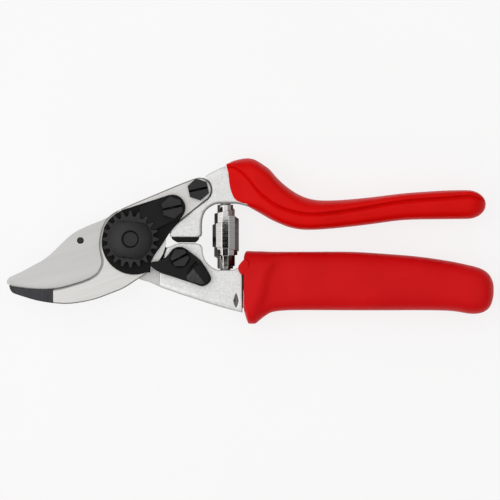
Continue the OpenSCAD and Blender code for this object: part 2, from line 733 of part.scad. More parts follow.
module grip_sleeve() {
    color("#cf1b1e") difference() {
        union() {
            grip_skin();
            // lug that stops the grip on the front face of the lower frame
            slab(lug_points, front_z + seat_gap, front_z + lug_t);
        }
        core_body(seat_gap);
    }
}

module front_bushing() {
    color("#e6e2d6") tube_x(bush_r, axle_r + fit_gap, grip_x, grip_x + bush_len);
}

module rear_bushing() {
    color("#e6e2d6") tube_x(bush_r, axle_r + fit_gap,
        axle_end_x - seat_gap - bush_len, axle_end_x - seat_gap);
}

// A disc with its sides cut to the lower frame's end
module thrust_washer() {
    color("#2a2a2a") intersection() {
        tube_x(thrust_r, axle_r + fit_gap, frame_end_x, frame_end_x + thrust_t);
        slab([[frame_end_x - 1, -30], [frame_end_x + 2, -30], [frame_end_x + 2, -11.6],
            [frame_end_x - 1, -11.6]], frame_z + 0.5, front_z - 0.5);
    }
}

module retaining_washer() {
    color("#a5a5a3") tube_x(retain_r, retain_screw_r + fit_gap, axle_end_x, axle_end_x + retain_t);
}

module retaining_screw() {
    seat_x = axle_end_x + retain_t;
    color("#8f8f8d") difference() {
        union() {
            rod(retain_screw_r, axle_end_x - retain_screw_len, seat_x + eps);
            rod(2 * retain_screw_r, seat_x, seat_x + retain_head_h);
        }
        translate([seat_x + retain_head_h, grip_y, mid_z])
            cube([retain_head_h, slot_w, 6 * retain_screw_r], center = true);
    }
}

lower_handle();
cutting_blade();
blade_rivets();
blade_stud();
upper_handle();
upper_coating();
anvil_blade();
tang_bolt();
segment_bolt();
toothed_segment();
locking_plate();
toothed_nut();
pivot_bolt();
pivot_washer();
bumper();
catch_lever();
catch_bolt();
catch_washer();
volute_spring();
grip_axle();
grip_core();
grip_sleeve();
front_bushing();
rear_bushing();
thrust_washer();
retaining_washer();
retaining_screw();
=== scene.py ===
"""Pruning shears with a revolving lower grip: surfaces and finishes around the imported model."""
import math

import bmesh
import bpy
from bpy.props import FloatProperty, FloatVectorProperty, IntProperty, PointerProperty, StringProperty
from mathutils import Matrix, Vector
from mathutils.bvhtree import BVHTree


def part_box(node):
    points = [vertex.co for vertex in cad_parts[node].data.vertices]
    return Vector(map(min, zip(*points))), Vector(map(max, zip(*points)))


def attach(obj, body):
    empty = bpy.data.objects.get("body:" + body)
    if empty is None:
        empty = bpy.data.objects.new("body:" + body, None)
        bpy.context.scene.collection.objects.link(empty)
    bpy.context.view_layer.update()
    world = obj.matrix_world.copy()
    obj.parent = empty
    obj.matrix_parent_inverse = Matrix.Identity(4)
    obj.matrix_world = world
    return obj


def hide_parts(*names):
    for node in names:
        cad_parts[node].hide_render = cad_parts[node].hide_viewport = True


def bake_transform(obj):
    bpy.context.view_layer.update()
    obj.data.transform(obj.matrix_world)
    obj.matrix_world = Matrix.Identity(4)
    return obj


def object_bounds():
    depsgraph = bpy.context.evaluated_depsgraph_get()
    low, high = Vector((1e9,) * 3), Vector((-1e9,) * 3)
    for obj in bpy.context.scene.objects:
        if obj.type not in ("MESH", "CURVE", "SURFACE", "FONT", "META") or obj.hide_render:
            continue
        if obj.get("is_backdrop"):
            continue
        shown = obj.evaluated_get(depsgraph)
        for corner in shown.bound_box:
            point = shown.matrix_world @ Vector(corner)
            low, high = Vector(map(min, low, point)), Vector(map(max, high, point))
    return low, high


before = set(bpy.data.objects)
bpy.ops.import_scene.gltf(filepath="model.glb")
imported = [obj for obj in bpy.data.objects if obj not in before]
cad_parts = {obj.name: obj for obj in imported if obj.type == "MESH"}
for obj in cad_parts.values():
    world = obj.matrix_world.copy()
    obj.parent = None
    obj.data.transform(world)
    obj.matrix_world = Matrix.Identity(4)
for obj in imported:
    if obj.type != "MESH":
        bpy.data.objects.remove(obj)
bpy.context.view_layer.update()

bl_info = {
    "name": "Pruning shears",
    "version": (1, 0, 0),
    "blender": (4, 5, 0),
    "location": "3D View > Sidebar > Shears",
    "description": "Makes the pieces and finishes of a pair of pruning shears",
    "category": "Object",
}

MM = 0.001
# The heights of the shears' middle plane and of the two faces of their frames
MID_Z = 10 * MM
FRONT, BACK = 16 * MM, 4 * MM
# An edge that turns by more than this is sharp, and gets a rounding
SHARP = math.radians(28)
# Faces whose normal has more than this along +Z face the front
FACING = 0.9
# Points closer than this are one point
ONE_POINT = 1e-6


def mm(*values):
    """A vector of lengths given in millimetres"""
    return Vector(values) * MM


def middle(node):
    """The middle of a CAD node's box"""
    low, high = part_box(node)
    return (low + high) / 2


# Materials

def colour(code):
    """Linear colour of an sRGB hex code"""
    parts = [int(code[i:i + 2], 16) / 255 for i in (1, 3, 5)]
    return [p / 12.92 if p <= 0.04045 else ((p + 0.055) / 1.055) ** 2.4 for p in parts] + [1.0]


def add_node(tree, kind, values=None, links=None, **settings):
    """Adds one node with its settings, its sockets' values and its links"""
    node = tree.nodes.new(kind)
    for name, value in settings.items():
        setattr(node, name, value)
    for socket, value in (values or {}).items():
        node.inputs[socket].default_value = value
    for socket, source in (links or {}).items():
        tree.links.new(source, node.inputs[socket])
    return node


def new_material(name, **constants):
    """A material whose shader has these constants; returns it, its tree, shader and coordinates"""
    made = bpy.data.materials.new(name)
    made.use_nodes = True
    tree = made.node_tree
    shader = tree.nodes["Principled BSDF"]
    for socket, value in constants.items():
        shader.inputs[socket.replace("_", " ")].default_value = value
    place = add_node(tree, "ShaderNodeTexCoord").outputs["Object"]
    return made, tree, shader, place


def grains(size, detail=2.0):
    """Values of a noise texture whose grains have this size in millimetres"""
    return {"Scale": 1 / (size * MM), "Detail": detail}


def two_tone(tree, shader, fac, dark, light):
    """Mixes two colours into the base colour by noise, which is spread as it stays near a half"""
    spread = add_node(tree, "ShaderNodeMapRange", {1: 0.3, 2: 0.7, 3: 0, 4: 1}, {0: fac})
    mix = add_node(tree, "ShaderNodeMix", {6: colour(dark), 7: colour(light)},
                   {0: spread.outputs[0]}, data_type="RGBA")
    tree.links.new(mix.outputs[2], shader.inputs["Base Color"])


def shine(tree, shader, fac, low, high):
    """Lets the roughness vary with noise, from low to high"""
    spread = add_node(tree, "ShaderNodeMapRange", {1: 0.3, 2: 0.7, 3: low, 4: high}, {0: fac})
    tree.links.new(spread.outputs[0], shader.inputs["Roughness"])


def relief(tree, shader, fac, strength, depth, softness=0.0):
    """Bumps of this depth in millimetres; softness rounds the look of edges over its width"""
    links = {"Height": fac}
    if softness:
        links["Normal"] = add_node(tree, "ShaderNodeBevel", {"Radius": softness * MM},
                                   samples=6).outputs["Normal"]
    bump = add_node(tree, "ShaderNodeBump", {"Strength": strength, "Distance": depth * MM}, links)
    tree.links.new(bump.outputs["Normal"], shader.inputs["Normal"])


def bead_blasted_aluminium(look):
    """Forged aluminium, bead-blasted: pale, with a fine mottled sparkle and a soft shine"""
    made, tree, shader, place = new_material("bead_blasted_aluminium", Metallic=1.0)
    mottle = add_node(tree, "ShaderNodeTexNoise", grains(0.9, 3.0), {"Vector": place}).outputs[0]
    two_tone(tree, shader, mottle, look.forging_dark, look.forging_light)
    broad = add_node(tree, "ShaderNodeTexNoise", grains(4.0), {"Vector": place}).outputs[0]
    shine(tree, shader, broad, 0.4, 0.5)
    # beads leave dents of 0.1 mm, drawn at 0.45 mm so that they show, and tumbling softens edges
    fine = add_node(tree, "ShaderNodeTexNoise", grains(0.45), {"Vector": place}).outputs[0]
    relief(tree, shader, fine, 0.35, 0.03, 1.0)
    return made


def painted_shade_aluminium():
    """Aluminium coloured a dull, dark grey: painted shade on the faces of the lower frame's scoop"""
    made, tree, shader, place = new_material("painted_shade_aluminium", Metallic=0.6, Roughness=0.6)
    cloud = add_node(tree, "ShaderNodeTexNoise", grains(0.8, 3.0), {"Vector": place}).outputs[0]
    two_tone(tree, shader, cloud, "#5C5557", "#8E8A8B")
    relief(tree, shader, cloud, 0.3, 0.04)
    return made


def ground_steel(name, dark, light, turn, roughness):
    """Blade steel ground by a belt: satin, with fine lines along the grinding direction"""
    made, tree, shader, place = new_material(name, Metallic=1.0)
    lines = add_node(tree, "ShaderNodeMapping",
                     {"Rotation": (0, 0, math.radians(turn)), "Scale": (30, 1, 1)},
                     {"Vector": place}, vector_type="TEXTURE").outputs["Vector"]
    # belt grit leaves lines of 0.1 mm, drawn at 0.5 mm so that they show
    fine = add_node(tree, "ShaderNodeTexNoise", grains(0.5, 4.0), {"Vector": lines}).outputs[0]
    broad = add_node(tree, "ShaderNodeTexNoise", grains(3.0), {"Vector": lines}).outputs[0]
    both = add_node(tree, "ShaderNodeMath", None, {0: fine, 1: broad}, operation="ADD")
    half = add_node(tree, "ShaderNodeMath", {1: 0.5}, {0: both.outputs[0]}, operation="MULTIPLY")
    two_tone(tree, shader, half.outputs[0], dark, light)
    shine(tree, shader, fine, roughness - 0.05, roughness + 0.05)
    relief(tree, shader, fine, 0.12, 0.02)
    return made


def black_oxide_steel(look):
    """Steel with a black oxide finish: near black, satin, a little worn and uneven"""
    made, tree, shader, place = new_material(
        "black_oxide_steel", Metallic=0.0, IOR=1.5, Specular_IOR_Level=0.4)
    cloud = add_node(tree, "ShaderNodeTexNoise", grains(2.5, 4.0), {"Vector": place}).outputs[0]
    two_tone(tree, shader, cloud, look.oxide_dark, look.oxide_light)
    shine(tree, shader, cloud, 0.3, 0.4)
    fine = add_node(tree, "ShaderNodeTexNoise", grains(0.4), {"Vector": place}).outputs[0]
    relief(tree, shader, fine, 0.2, 0.02)
    return made


def black_coated_plate(name, dark, light):
    """Stamped steel plate with a black coating: the darkest, dull surface"""
    made, tree, shader, place = new_material(
        name, Metallic=0.0, IOR=1.5, Specular_IOR_Level=0.15)
    cloud = add_node(tree, "ShaderNodeTexNoise", grains(1.8, 3.0), {"Vector": place}).outputs[0]
    two_tone(tree, shader, cloud, dark, light)
    shine(tree, shader, cloud, 0.42, 0.55)
    fine = add_node(tree, "ShaderNodeTexNoise", grains(0.35), {"Vector": place}).outputs[0]
    relief(tree, shader, fine, 0.15, 0.02)
    return made


def moulded_nylon(name, dark, light, rubbed=None):
    """Glass-filled nylon, injection moulded with a fine eroded grain: dark grey and matt.
    rubbed is the direction in which a thumb has streaked it"""
    made, tree, shader, place = new_material(name, IOR=1.53, Specular_IOR_Level=0.2)
    drawn = place
    if rubbed is not None:
        drawn = add_node(tree, "ShaderNodeMapping",
                         {"Rotation": (0, 0, math.radians(rubbed)), "Scale": (8, 1, 1)},
                         {"Vector": place}, vector_type="TEXTURE").outputs["Vector"]
    cloud = add_node(tree, "ShaderNodeTexNoise", grains(1.2, 3.0), {"Vector": drawn}).outputs[0]
    two_tone(tree, shader, cloud, dark, light)
    shine(tree, shader, cloud, 0.48, 0.6)
    fine = add_node(tree, "ShaderNodeTexNoise", grains(0.4), {"Vector": place}).outputs[0]
    relief(tree, shader, fine, 0.35, 0.03)
    return made


def moulded_rubber():
    """Black rubber: dull, with a faint bloom"""
    made, tree, shader, place = new_material(
        "moulded_black_rubber", IOR=1.52, Specular_IOR_Level=0.2)
    cloud = add_node(tree, "ShaderNodeTexNoise", grains(2.0, 3.0), {"Vector": place}).outputs[0]
    two_tone(tree, shader, cloud, "#0B0B0B", "#161616")
    shine(tree, shader, cloud, 0.6, 0.75)
    fine = add_node(tree, "ShaderNodeTexNoise", grains(0.5), {"Vector": place}).outputs[0]
    relief(tree, shader, fine, 0.3, 0.03)
    return made


def dipped_vinyl(name, dark, light):
    """Soft vinyl: an even, saturated red with a soft gloss and a faint orange-peel skin"""
    made, tree, shader, place = new_material(name, IOR=1.53, Specular_IOR_Level=0.1)
    cloud = add_node(tree, "ShaderNodeTexNoise", grains(14.0), {"Vector": place}).outputs[0]
    two_tone(tree, shader, cloud, dark, light)
    broad = add_node(tree, "ShaderNodeTexNoise", grains(3.0), {"Vector": place}).outputs[0]
    shine(tree, shader, broad, 0.4, 0.46)
    fine = add_node(tree, "ShaderNodeTexNoise", grains(1.4), {"Vector": place}).outputs[0]
    relief(tree, shader, fine, 0.12, 0.03)
    return made


def nickel_plated_steel(name, dark, light, roughness):
    """Spring strip plated with bright nickel: nearly a mirror, drawn along its length"""
    made, tree, shader, place = new_material(name, Metallic=1.0)
    lines = add_node(tree, "ShaderNodeMapping", {"Scale": (0.1, 1, 0.1)},
                     {"Vector": place}).outputs["Vector"]
    drawn = add_node(tree, "ShaderNodeTexNoise", grains(0.5, 3.0), {"Vector": lines}).outputs[0]
    two_tone(tree, shader, drawn, dark, light)
    shine(tree, shader, drawn, roughness - 0.02, roughness + 0.02)
    relief(tree, shader, drawn, 0.02, 0.01)
    return made


def zinc_plated_steel():
    """Zinc-plated fasteners and axle: grey, slightly clouded"""
    made, tree, shader, place = new_material("zinc_plated_steel", Metallic=1.0)
    cloud = add_node(tree, "ShaderNodeTexNoise", grains(2.0, 4.0), {"Vector": place}).outputs[0]
    two_tone(tree, shader, cloud, "#A4A6A4", "#BDBEBB")
    shine(tree, shader, cloud, 0.28, 0.4)
    fine = add_node(tree, "ShaderNodeTexNoise", grains(0.6), {"Vector": place}).outputs[0]
    relief(tree, shader, fine, 0.1, 0.02)
    return made


def natural_acetal():
    """Natural acetal bushings: milky, smooth and slightly waxy"""
    made, tree, shader, place = new_material("natural_acetal", IOR=1.48)
    cloud = add_node(tree, "ShaderNodeTexNoise", grains(3.0), {"Vector": place}).outputs[0]
    two_tone(tree, shader, cloud, "#DDD6C4", "#E9E4D6")
    shine(tree, shader, cloud, 0.3, 0.4)
    relief(tree, shader, cloud, 0.05, 0.02)
    return made


# Shapes

def join_flat_faces(bm):
    """Puts each flat face in one piece again"""
    bmesh.ops.dissolve_limit(bm, angle_limit=math.radians(0.5), use_dissolve_boundaries=False,
                             verts=bm.verts, edges=bm.edges)


def merged_copy(node):
    """A merged copy of a CAD node's mesh, with its flat faces in one piece again"""
    bm = bmesh.new()
    bm.from_mesh(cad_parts[node].data)
    bmesh.ops.remove_doubles(bm, verts=bm.verts, dist=ONE_POINT)
    join_flat_faces(bm)
    return bm


def cut_across(bm, at, across, parts=None, **options):
    """Cuts a mesh, or only these parts of it, by a plane; returns the edges of the cut"""
    made = bmesh.ops.bisect_plane(
        bm, geom=parts or bm.verts[:] + bm.edges[:] + bm.faces[:], dist=ONE_POINT / 10,
        plane_co=at, plane_no=across, **options)["geom_cut"]
    return [e for e in made if isinstance(e, bmesh.types.BMEdge)]


def within(at, corners):
    """Whether a point lies inside the box with these two corners"""
    return all(low < value < high for low, value, high in zip(corners[0], at, corners[1]))


def on_line(points, first):
    """The other values of a line through points, where its first value is this"""
    a, b = next(pair for pair in zip(points, points[1:]) if pair[1][0] >= first)
    share = (first - a[0]) / (b[0] - a[0])
    return [p + (q - p) * share for p, q in zip(a[1:], b[1:])]


def paint(bm, tests):
    """Gives faces the material of a number where that number's test is true.
    A test is given the face's middle, in millimetres, and its normal"""
    bm.normal_update()
    for face in bm.faces:
        at = face.calc_center_median() / MM
        for number, test in tests.items():
            if test(at, face.normal):
                face.material_index = number


def edge_middle(edge):
    """The middle of an edge"""
    return (edge.verts[0].co + edge.verts[1].co) / 2


def rim_edge(edge, z):
    """Whether an edge lies in the flat face at height z"""
    return all(abs(v.co.z - z) < 0.02 * MM for v in edge.verts)


def beside(node, reach):
    """A test whether an edge's middle lies within reach of a CAD node's surface"""
    bm = merged_copy(node)
    surface = BVHTree.FromBMesh(bm)
    bm.free()
    return lambda edge: surface.find_nearest(edge_middle(edge), reach)[0] is not None


def near_axis(edge, at, reach):
    """Whether an edge's middle lies within reach of the upright axis through at"""
    return (edge_middle(edge).xy - Vector(at[:2])).length < reach


def mesh_of(bm, name):
    """Turns a bmesh into a mesh"""
    data = bpy.data.meshes.new(name)
    bm.to_mesh(data)
    bm.free()
    return data


def placed(name, data):
    """A new object in the scene, at the origin"""
    made = bpy.data.objects.new(name, data)
    bpy.context.scene.collection.objects.link(made)
    return made


def piece(name, bm, material, body, nodes=(), rounding=None, segments=3, extra=()):
    """Makes a shown piece from a bmesh. rounding gives the width of each sharp edge's rounding"""
    if rounding:
        weight = bm.edges.layers.float.new("bevel_weight_edge")
        widths = {e: rounding(e) for e in bm.edges if e.is_manifold
                  and e.calc_face_angle(0) > SHARP}
        widest = max(widths.values())
        for edge, width in widths.items():
            edge[weight] = width / widest
    for face in bm.faces:
        face.smooth = True
    made = placed(name, mesh_of(bm, name))
    for one in (material, *extra):
        made.data.materials.append(one)
    if rounding:
        bevel = made.modifiers.new("rounded edges", "BEVEL")
        bevel.limit_method = "WEIGHT"
        bevel.width = widest
        bevel.segments = segments
        bevel.use_clamp_overlap = False
        normals = made.modifiers.new("flat faces stay flat", "WEIGHTED_NORMAL")
        normals.keep_sharp = True
    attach(made, body)
    if nodes:
        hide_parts(*nodes)
    return made


def subdivide(made):
    """Smooths a piece's skin with one subdivision"""
    modifier = made.modifiers.new("smooth skin", "SUBSURF")
    modifier.levels = modifier.render_levels = 1


def smooth_points(points, steps=3):
    """A smooth curve through all points, with a number of steps between each two"""
    out = []
    for i in range(len(points) - 1):
        a, b = points[max(i - 1, 0)], points[i]
        c, d = points[i + 1], points[min(i + 2, len(points) - 1)]
        for k in range(steps):
            t = k / steps
            out.append([(2 * q + (r - p) * t + (2 * p - 5 * q + 4 * r - s) * t * t
                         + (3 * q - p - 3 * r + s) * t ** 3) / 2
                        for p, q, r, s in zip(a, b, c, d)])
    return out + [list(points[-1])]


def first_loop(bm, points):
    """A closed loop of vertices: a circle of the right number, each then set in its place"""
    ring = bmesh.ops.create_circle(bm, segments=len(points), radius=1.0)["verts"]
    ordered = [ring[0]]
    while len(ordered) < len(ring):
        ordered.append(next(
            e.other_vert(ordered[-1]) for e in ordered[-1].link_edges
            if e.other_vert(ordered[-1]) not in ordered))
    for vert, at in zip(ordered, points):
        vert.co = at
    return ordered


def loop_edges(ring):
    """The edges of a closed loop of vertices, each once"""
    return list(dict.fromkeys(e for v in ring for e in v.link_edges if e.other_vert(v) in ring))


def next_loop(bm, ring, points):
    """Extrudes a loop of vertices and sets the new ones in their places"""
    made = bmesh.ops.extrude_edge_only(bm, edges=loop_edges(ring))["geom"]
    fresh = {v for v in made if isinstance(v, bmesh.types.BMVert)}
    out = []
    for vert, at in zip(ring, points):
        twin = next(e.other_vert(vert) for e in vert.link_edges if e.other_vert(vert) in fresh)
        twin.co = at
        out.append(twin)
    return out


def lofted(sections):
    """A closed skin over sections that all have the same number of points"""
    bm = bmesh.new()
    ring = first = first_loop(bm, sections[0])
    for points in sections[1:]:
        ring = next_loop(bm, ring, points)
    for end in (first, ring):
        bmesh.ops.edgeloop_fill(bm, edges=loop_edges(end))
    bmesh.ops.recalc_face_normals(bm, faces=bm.faces)
    return bm


class ShearsOperator:
    """What all makers share"""
    bl_options = {"REGISTER", "UNDO"}


# Sizes and colours that a user would change

def length(name, description, value):
    """A length that a user would change; its default is in millimetres"""
    return FloatProperty(name=name, description=description, default=value * MM, min=0.0,
                         unit="LENGTH", subtype="DISTANCE", precision=5)


def tint(name, description, code):
    """A colour that a user would change, as an sRGB hex code"""
    return StringProperty(name=name, description=description, default=code)


class ForgingSettings(bpy.types.PropertyGroup):
    """Sizes of the two forged frames"""
    rim: length("Rim rounding", "Rounding along the lower frame's outline", 0.35)
    belly: length("Belly rounding", "Rounding where the belly's broad chamfer starts", 0.5)
    window: length("Window rounding", "Rounding round the upper frame's window", 1.3)
    small: length("Small edges", "Rounding of all other edges", 0.2)


class BladeSettings(bpy.types.PropertyGroup):
    """Sizes of the two blades"""
    edge_break: length("Edge break", "Narrow chamfer that the grinding leaves", 0.12)
    inner_strip: length("Inner strip", "Width of the chamfer along the hook's inner edge", 1.1)
    outer_strip: length("Outer strip", "Width of the chamfer along the hook's outer edge", 0.5)
    tip_x: FloatProperty(name="Tip facet", description="Where the hook's ground tip facet begins",
                         default=-31.55 * MM, unit="LENGTH", subtype="DISTANCE", precision=5)
    tip_fall: FloatProperty(name="Tip fall", description="Slope of the ground tip facet",
                            default=0.2, min=0.0, max=0.4)
    grinding: FloatProperty(name="Grinding direction",
                            description="Direction of the fine lines, in degrees", default=15.0)


class FixingSettings(bpy.types.PropertyGroup):
    """Sizes of the pivot's pieces and the bolts"""
    tooth_edge: length("Tooth edges", "Rounding of the nut's and segment's edges", 0.2)
    boss_edge: length("Boss edge", "Rounding of the nut's raised face", 0.15)
    plate_edge: length("Plate edge", "Rounding of the locking plate's edge", 0.3)
    head_edge: length("Head edges", "Rounding of the bolt heads", 0.14)


class CatchSettings(bpy.types.PropertyGroup):
    """Sizes of the thumb catch"""
    rim: length("Rim rounding", "Rounding of the catch's outer rim", 0.3)
    slope: FloatProperty(name="Pad slope", description="Slope of the pad's rubbed side",
                         default=0.26)
    back_slope: FloatProperty(name="Pad back slope", description="Slope of the pad's other side",
                              default=0.15)
    recess: length("Recess edge", "Rounding of the bolt's recess and the groove", 0.15)


class SpringSettings(bpy.types.PropertyGroup):
    """Sizes of the volute spring"""
    strip: length("Strip thickness", "Thickness of the coiled strip", 0.4)
    facets: IntProperty(name="Facets", description="Flats in one turn of the strip", default=12,
                        min=8, max=48)


class GripSettings(bpy.types.PropertyGroup):
    """Sizes of the red grips"""
    crease: length("Crease depth", "Depth of the line between palm rest and web", 0.55)
    hollow: length("Front hollow", "Depth of the hollow beside the palm rest's front", 0.7)
    waist: length("Waist depth", "Depth of the step behind the lower grip's collar", 2.0)
    waist_front: length("Waist step", "Length over which the collar falls to the waist", 5.6)
    waist_back: length("Waist reach", "Length over which the grip widens again", 30)
    crest: length("Crest", "Height of the collar's crest over its front", 1.1)
    lip: length("Coating lip", "Width of the coating's front lip", 1.2)


class FinishSettings(bpy.types.PropertyGroup):
    """Colours of the finishes, as sRGB hex codes"""
    forging_dark: tint("Forging, dark", "Darker mottle of the forgings", "#DCDCDA")
    forging_light: tint("Forging, light", "Lighter mottle of the forgings", "#EEEEEC")
    blade_dark: tint("Blade, dark", "Darker lines of the cutting blade", "#C2C1BF")
    blade_light: tint("Blade, light", "Lighter lines of the cutting blade", "#CDCCCA")
    hook_dark: tint("Hook, dark", "Darker lines of the counter blade", "#D0CECC")
    hook_light: tint("Hook, light", "Lighter lines of the counter blade", "#E2E0DC")
    # the tip facet's dark colour is a painted reflection
    facet_dark: tint("Tip facet, dark", "Darker lines of the dark tip facet", "#3A3A3C")
    facet_light: tint("Tip facet, light", "Lighter lines of the dark tip facet", "#4C4C4E")
    oxide_dark: tint("Oxide, dark", "Darker cloud of the black steel", "#121212")
    oxide_light: tint("Oxide, light", "Lighter cloud of the black steel", "#1C1C1C")
    plate_dark: tint("Plate, dark", "Darker cloud of the locking plate", "#060606")
    plate_light: tint("Plate, light", "Lighter cloud of the locking plate", "#0C0C0C")
    nylon_dark: tint("Nylon, dark", "Darker cloud of the catch", "#0C0C0C")
    nylon_light: tint("Nylon, light", "Lighter cloud of the catch", "#141414")
    coat_dark: tint("Coating, dark", "Darker red of the upper grip", "#E20300")
    coat_light: tint("Coating, light", "Lighter red of the upper grip", "#EC0503")
    sleeve_dark: tint("Sleeve, dark", "Darker red of the lower grip", "#DC0A10")
    sleeve_light: tint("Sleeve, light", "Lighter red of the lower grip", "#E40E14")
    nickel_dark: tint("Nickel, dark", "Darker lines of the spring", "#CFCCCA")
    nickel_light: tint("Nickel, light", "Lighter lines of the spring", "#E2E0DD")


class StageSettings(bpy.types.PropertyGroup):
    """Camera, lamps and floor"""
    focal: FloatProperty(name="Lens", description="Focal length in millimetres", default=400.0)
    view_width: length("View width", "Width of the view at the object", 205.0)
    centre: FloatVectorProperty(name="Centre", description="Point that the camera looks at",
                                size=3, unit="LENGTH", subtype="XYZ",
                                default=(48.8 * MM, -4.4 * MM, 13 * MM))
    overhead: FloatProperty(name="Overhead", description="Brightness of the sky overhead",
                            default=1.0)
    horizon: FloatProperty(name="Horizon", description="Brightness of the sky at the horizon",
                           default=0.2)
    lamp_power: FloatProperty(name="Lamp", description="Power of the overhead lamp in watts",
                              default=4.0)


GROUPS = {
    "shears_forging": ForgingSettings, "shears_blade": BladeSettings,
    "shears_fixing": FixingSettings, "shears_catch": CatchSettings,
    "shears_spring": SpringSettings, "shears_grip": GripSettings,
    "shears_finish": FinishSettings, "shears_stage": StageSettings,
}


def settings(name):
    """One group of the scene's settings"""
    return getattr(bpy.context.scene, "shears_" + name)


def finish_named(name):
    """The material of this name, made when it is first asked for"""
    look = settings("finish")
    if name not in bpy.data.materials:
        {
            "bead_blasted_aluminium": lambda: bead_blasted_aluminium(look),
            "belt_ground_blade_steel": lambda: ground_steel(
                name, look.blade_dark, look.blade_light, settings("blade").grinding, 0.4),
            "satin_hook_steel": lambda: ground_steel(
                name, look.hook_dark, look.hook_light, settings("blade").grinding + 3, 0.4),
            # painted reflection: the tip facet is coloured dark grey where its tilt would mirror the
            # dark studio
            "painted_reflection_tip_steel": lambda: ground_steel(
                name, look.facet_dark, look.facet_light, 90, 0.4),
            # painted shade: the hook's chamfered strips are coloured mid grey, as their sideways tilt
            # would mirror the darker horizon
            "painted_shade_strip_steel": lambda: ground_steel(name, "#8C8B89", "#A3A2A0", 15, 0.35),
            "black_oxide_steel": lambda: black_oxide_steel(look),
            "black_coated_plate": lambda: black_coated_plate(
                name, look.plate_dark, look.plate_light),
            "pressed_black_steel": lambda: black_coated_plate(name, "#141414", "#1C1C1C"),
            "moulded_black_nylon": lambda: moulded_nylon(name, look.nylon_dark, look.nylon_light),
            "painted_shade_aluminium": painted_shade_aluminium,
            # painted shade: the recess floor round the counter blade's heel is coloured near black,
            # so the narrow gap reads as shadowed
            "painted_shade_recess": lambda: black_coated_plate(name, "#100E0D", "#1C1917"),
            # painted shade: the milled slots are coloured near black
            "painted_shade_slots": lambda: black_coated_plate(name, "#020202", "#060606"),
            # the thumb rubs the pad, which is smoother there; its paler colour is partly that wear
            # and partly a painted highlight on the side that faces the lamp
            "worn_and_highlit_nylon": lambda: moulded_nylon(name, "#2A2A2A", "#4C4C4C", 62),
            # painted shade: near black in the catch's thumb groove
            "painted_shade_groove": lambda: moulded_nylon(name, "#020202", "#060606"),
            "moulded_black_rubber": moulded_rubber,
            "dipped_red_vinyl": lambda: dipped_vinyl(name, look.coat_dark, look.coat_light),
            "moulded_red_vinyl": lambda: dipped_vinyl(name, look.sleeve_dark, look.sleeve_light),
            "nickel_plated_spring_steel": lambda: nickel_plated_steel(
                name, look.nickel_dark, look.nickel_light, 0.05),
            # painted reflection: a dark colour on the strip's flanks stands in for the dark studio
            # that bright ones would mirror
            "painted_reflection_spring_steel": lambda: nickel_plated_steel(name, "#3F3B39", "#5E5956", 0.22),
            "zinc_plated_steel": zinc_plated_steel,
            "natural_acetal": natural_acetal,
        }[name]()
    return bpy.data.materials[name]


# Makers. Places and heights without MM or mm() are in millimetres from the frame's origin

class SHEARS_OT_lower_frame(ShearsOperator, bpy.types.Operator):
    """Forged lower frame: outline rounded, painted shade in the scoop and round the counter blade's
    heel
    """
    bl_idname = "shears.lower_frame"
    bl_label = "Lower frame"

    # the scoop beside the grip, as the box round its floor and the box round its edges
    SCOOP = (41.8, -28.3, 14), (44.4, -21.9, 15.995)
    SCOOP_EDGES = (41.5, -29, 12), (44.6, -21.5, 17)
    # the floor of the recess round the counter blade's heel lies between these heights
    RECESS_FLOOR = 12.2, 12.6
    # the belly's broad chamfer, whose front end runs out in small steps
    BELLY_Y, BELLY_Z = -17.6, 14.5
    BELLY_END = (11.6, -19.7, 9.6), (11.95, -17.5, 17)
    # the land between the two rivets' countersinks is thin
    RIVETS = mm(8.6, -6.2), mm(2.6, -9.6)
    LAND_REACH, LAND_TOP = 3.4 * MM, 5.8

    def execute(self, context):
        size = settings("forging")
        bm = merged_copy("lower_handle")
        floor, ceiling = self.RECESS_FLOOR
        # painted shade: the scoop's faces take the dark aluminium
        paint(bm, {1: lambda at, facing: within(at, self.SCOOP),
                   # painted shade on the recess floor round the counter blade's heel
                   2: lambda at, facing: floor < at.z < ceiling and facing.z > FACING})

        def width(edge):
            at = edge_middle(edge) / MM
            if within(at, self.SCOOP_EDGES) or within(at, self.BELLY_END):
                return 0.0
            if at.z < self.LAND_TOP and any(near_axis(edge, rivet, self.LAND_REACH)
                                            for rivet in self.RIVETS):
                return size.small / 4
            if rim_edge(edge, FRONT) or rim_edge(edge, BACK):
                return size.rim
            return size.belly if at.z > self.BELLY_Z and at.y < self.BELLY_Y else size.small

        piece("lower_frame_forging", bm,
              finish_named("bead_blasted_aluminium"), "lower_frame", ["lower_handle"], width,
              extra=[finish_named("painted_shade_aluminium"), finish_named("painted_shade_recess")])
        return {"FINISHED"}


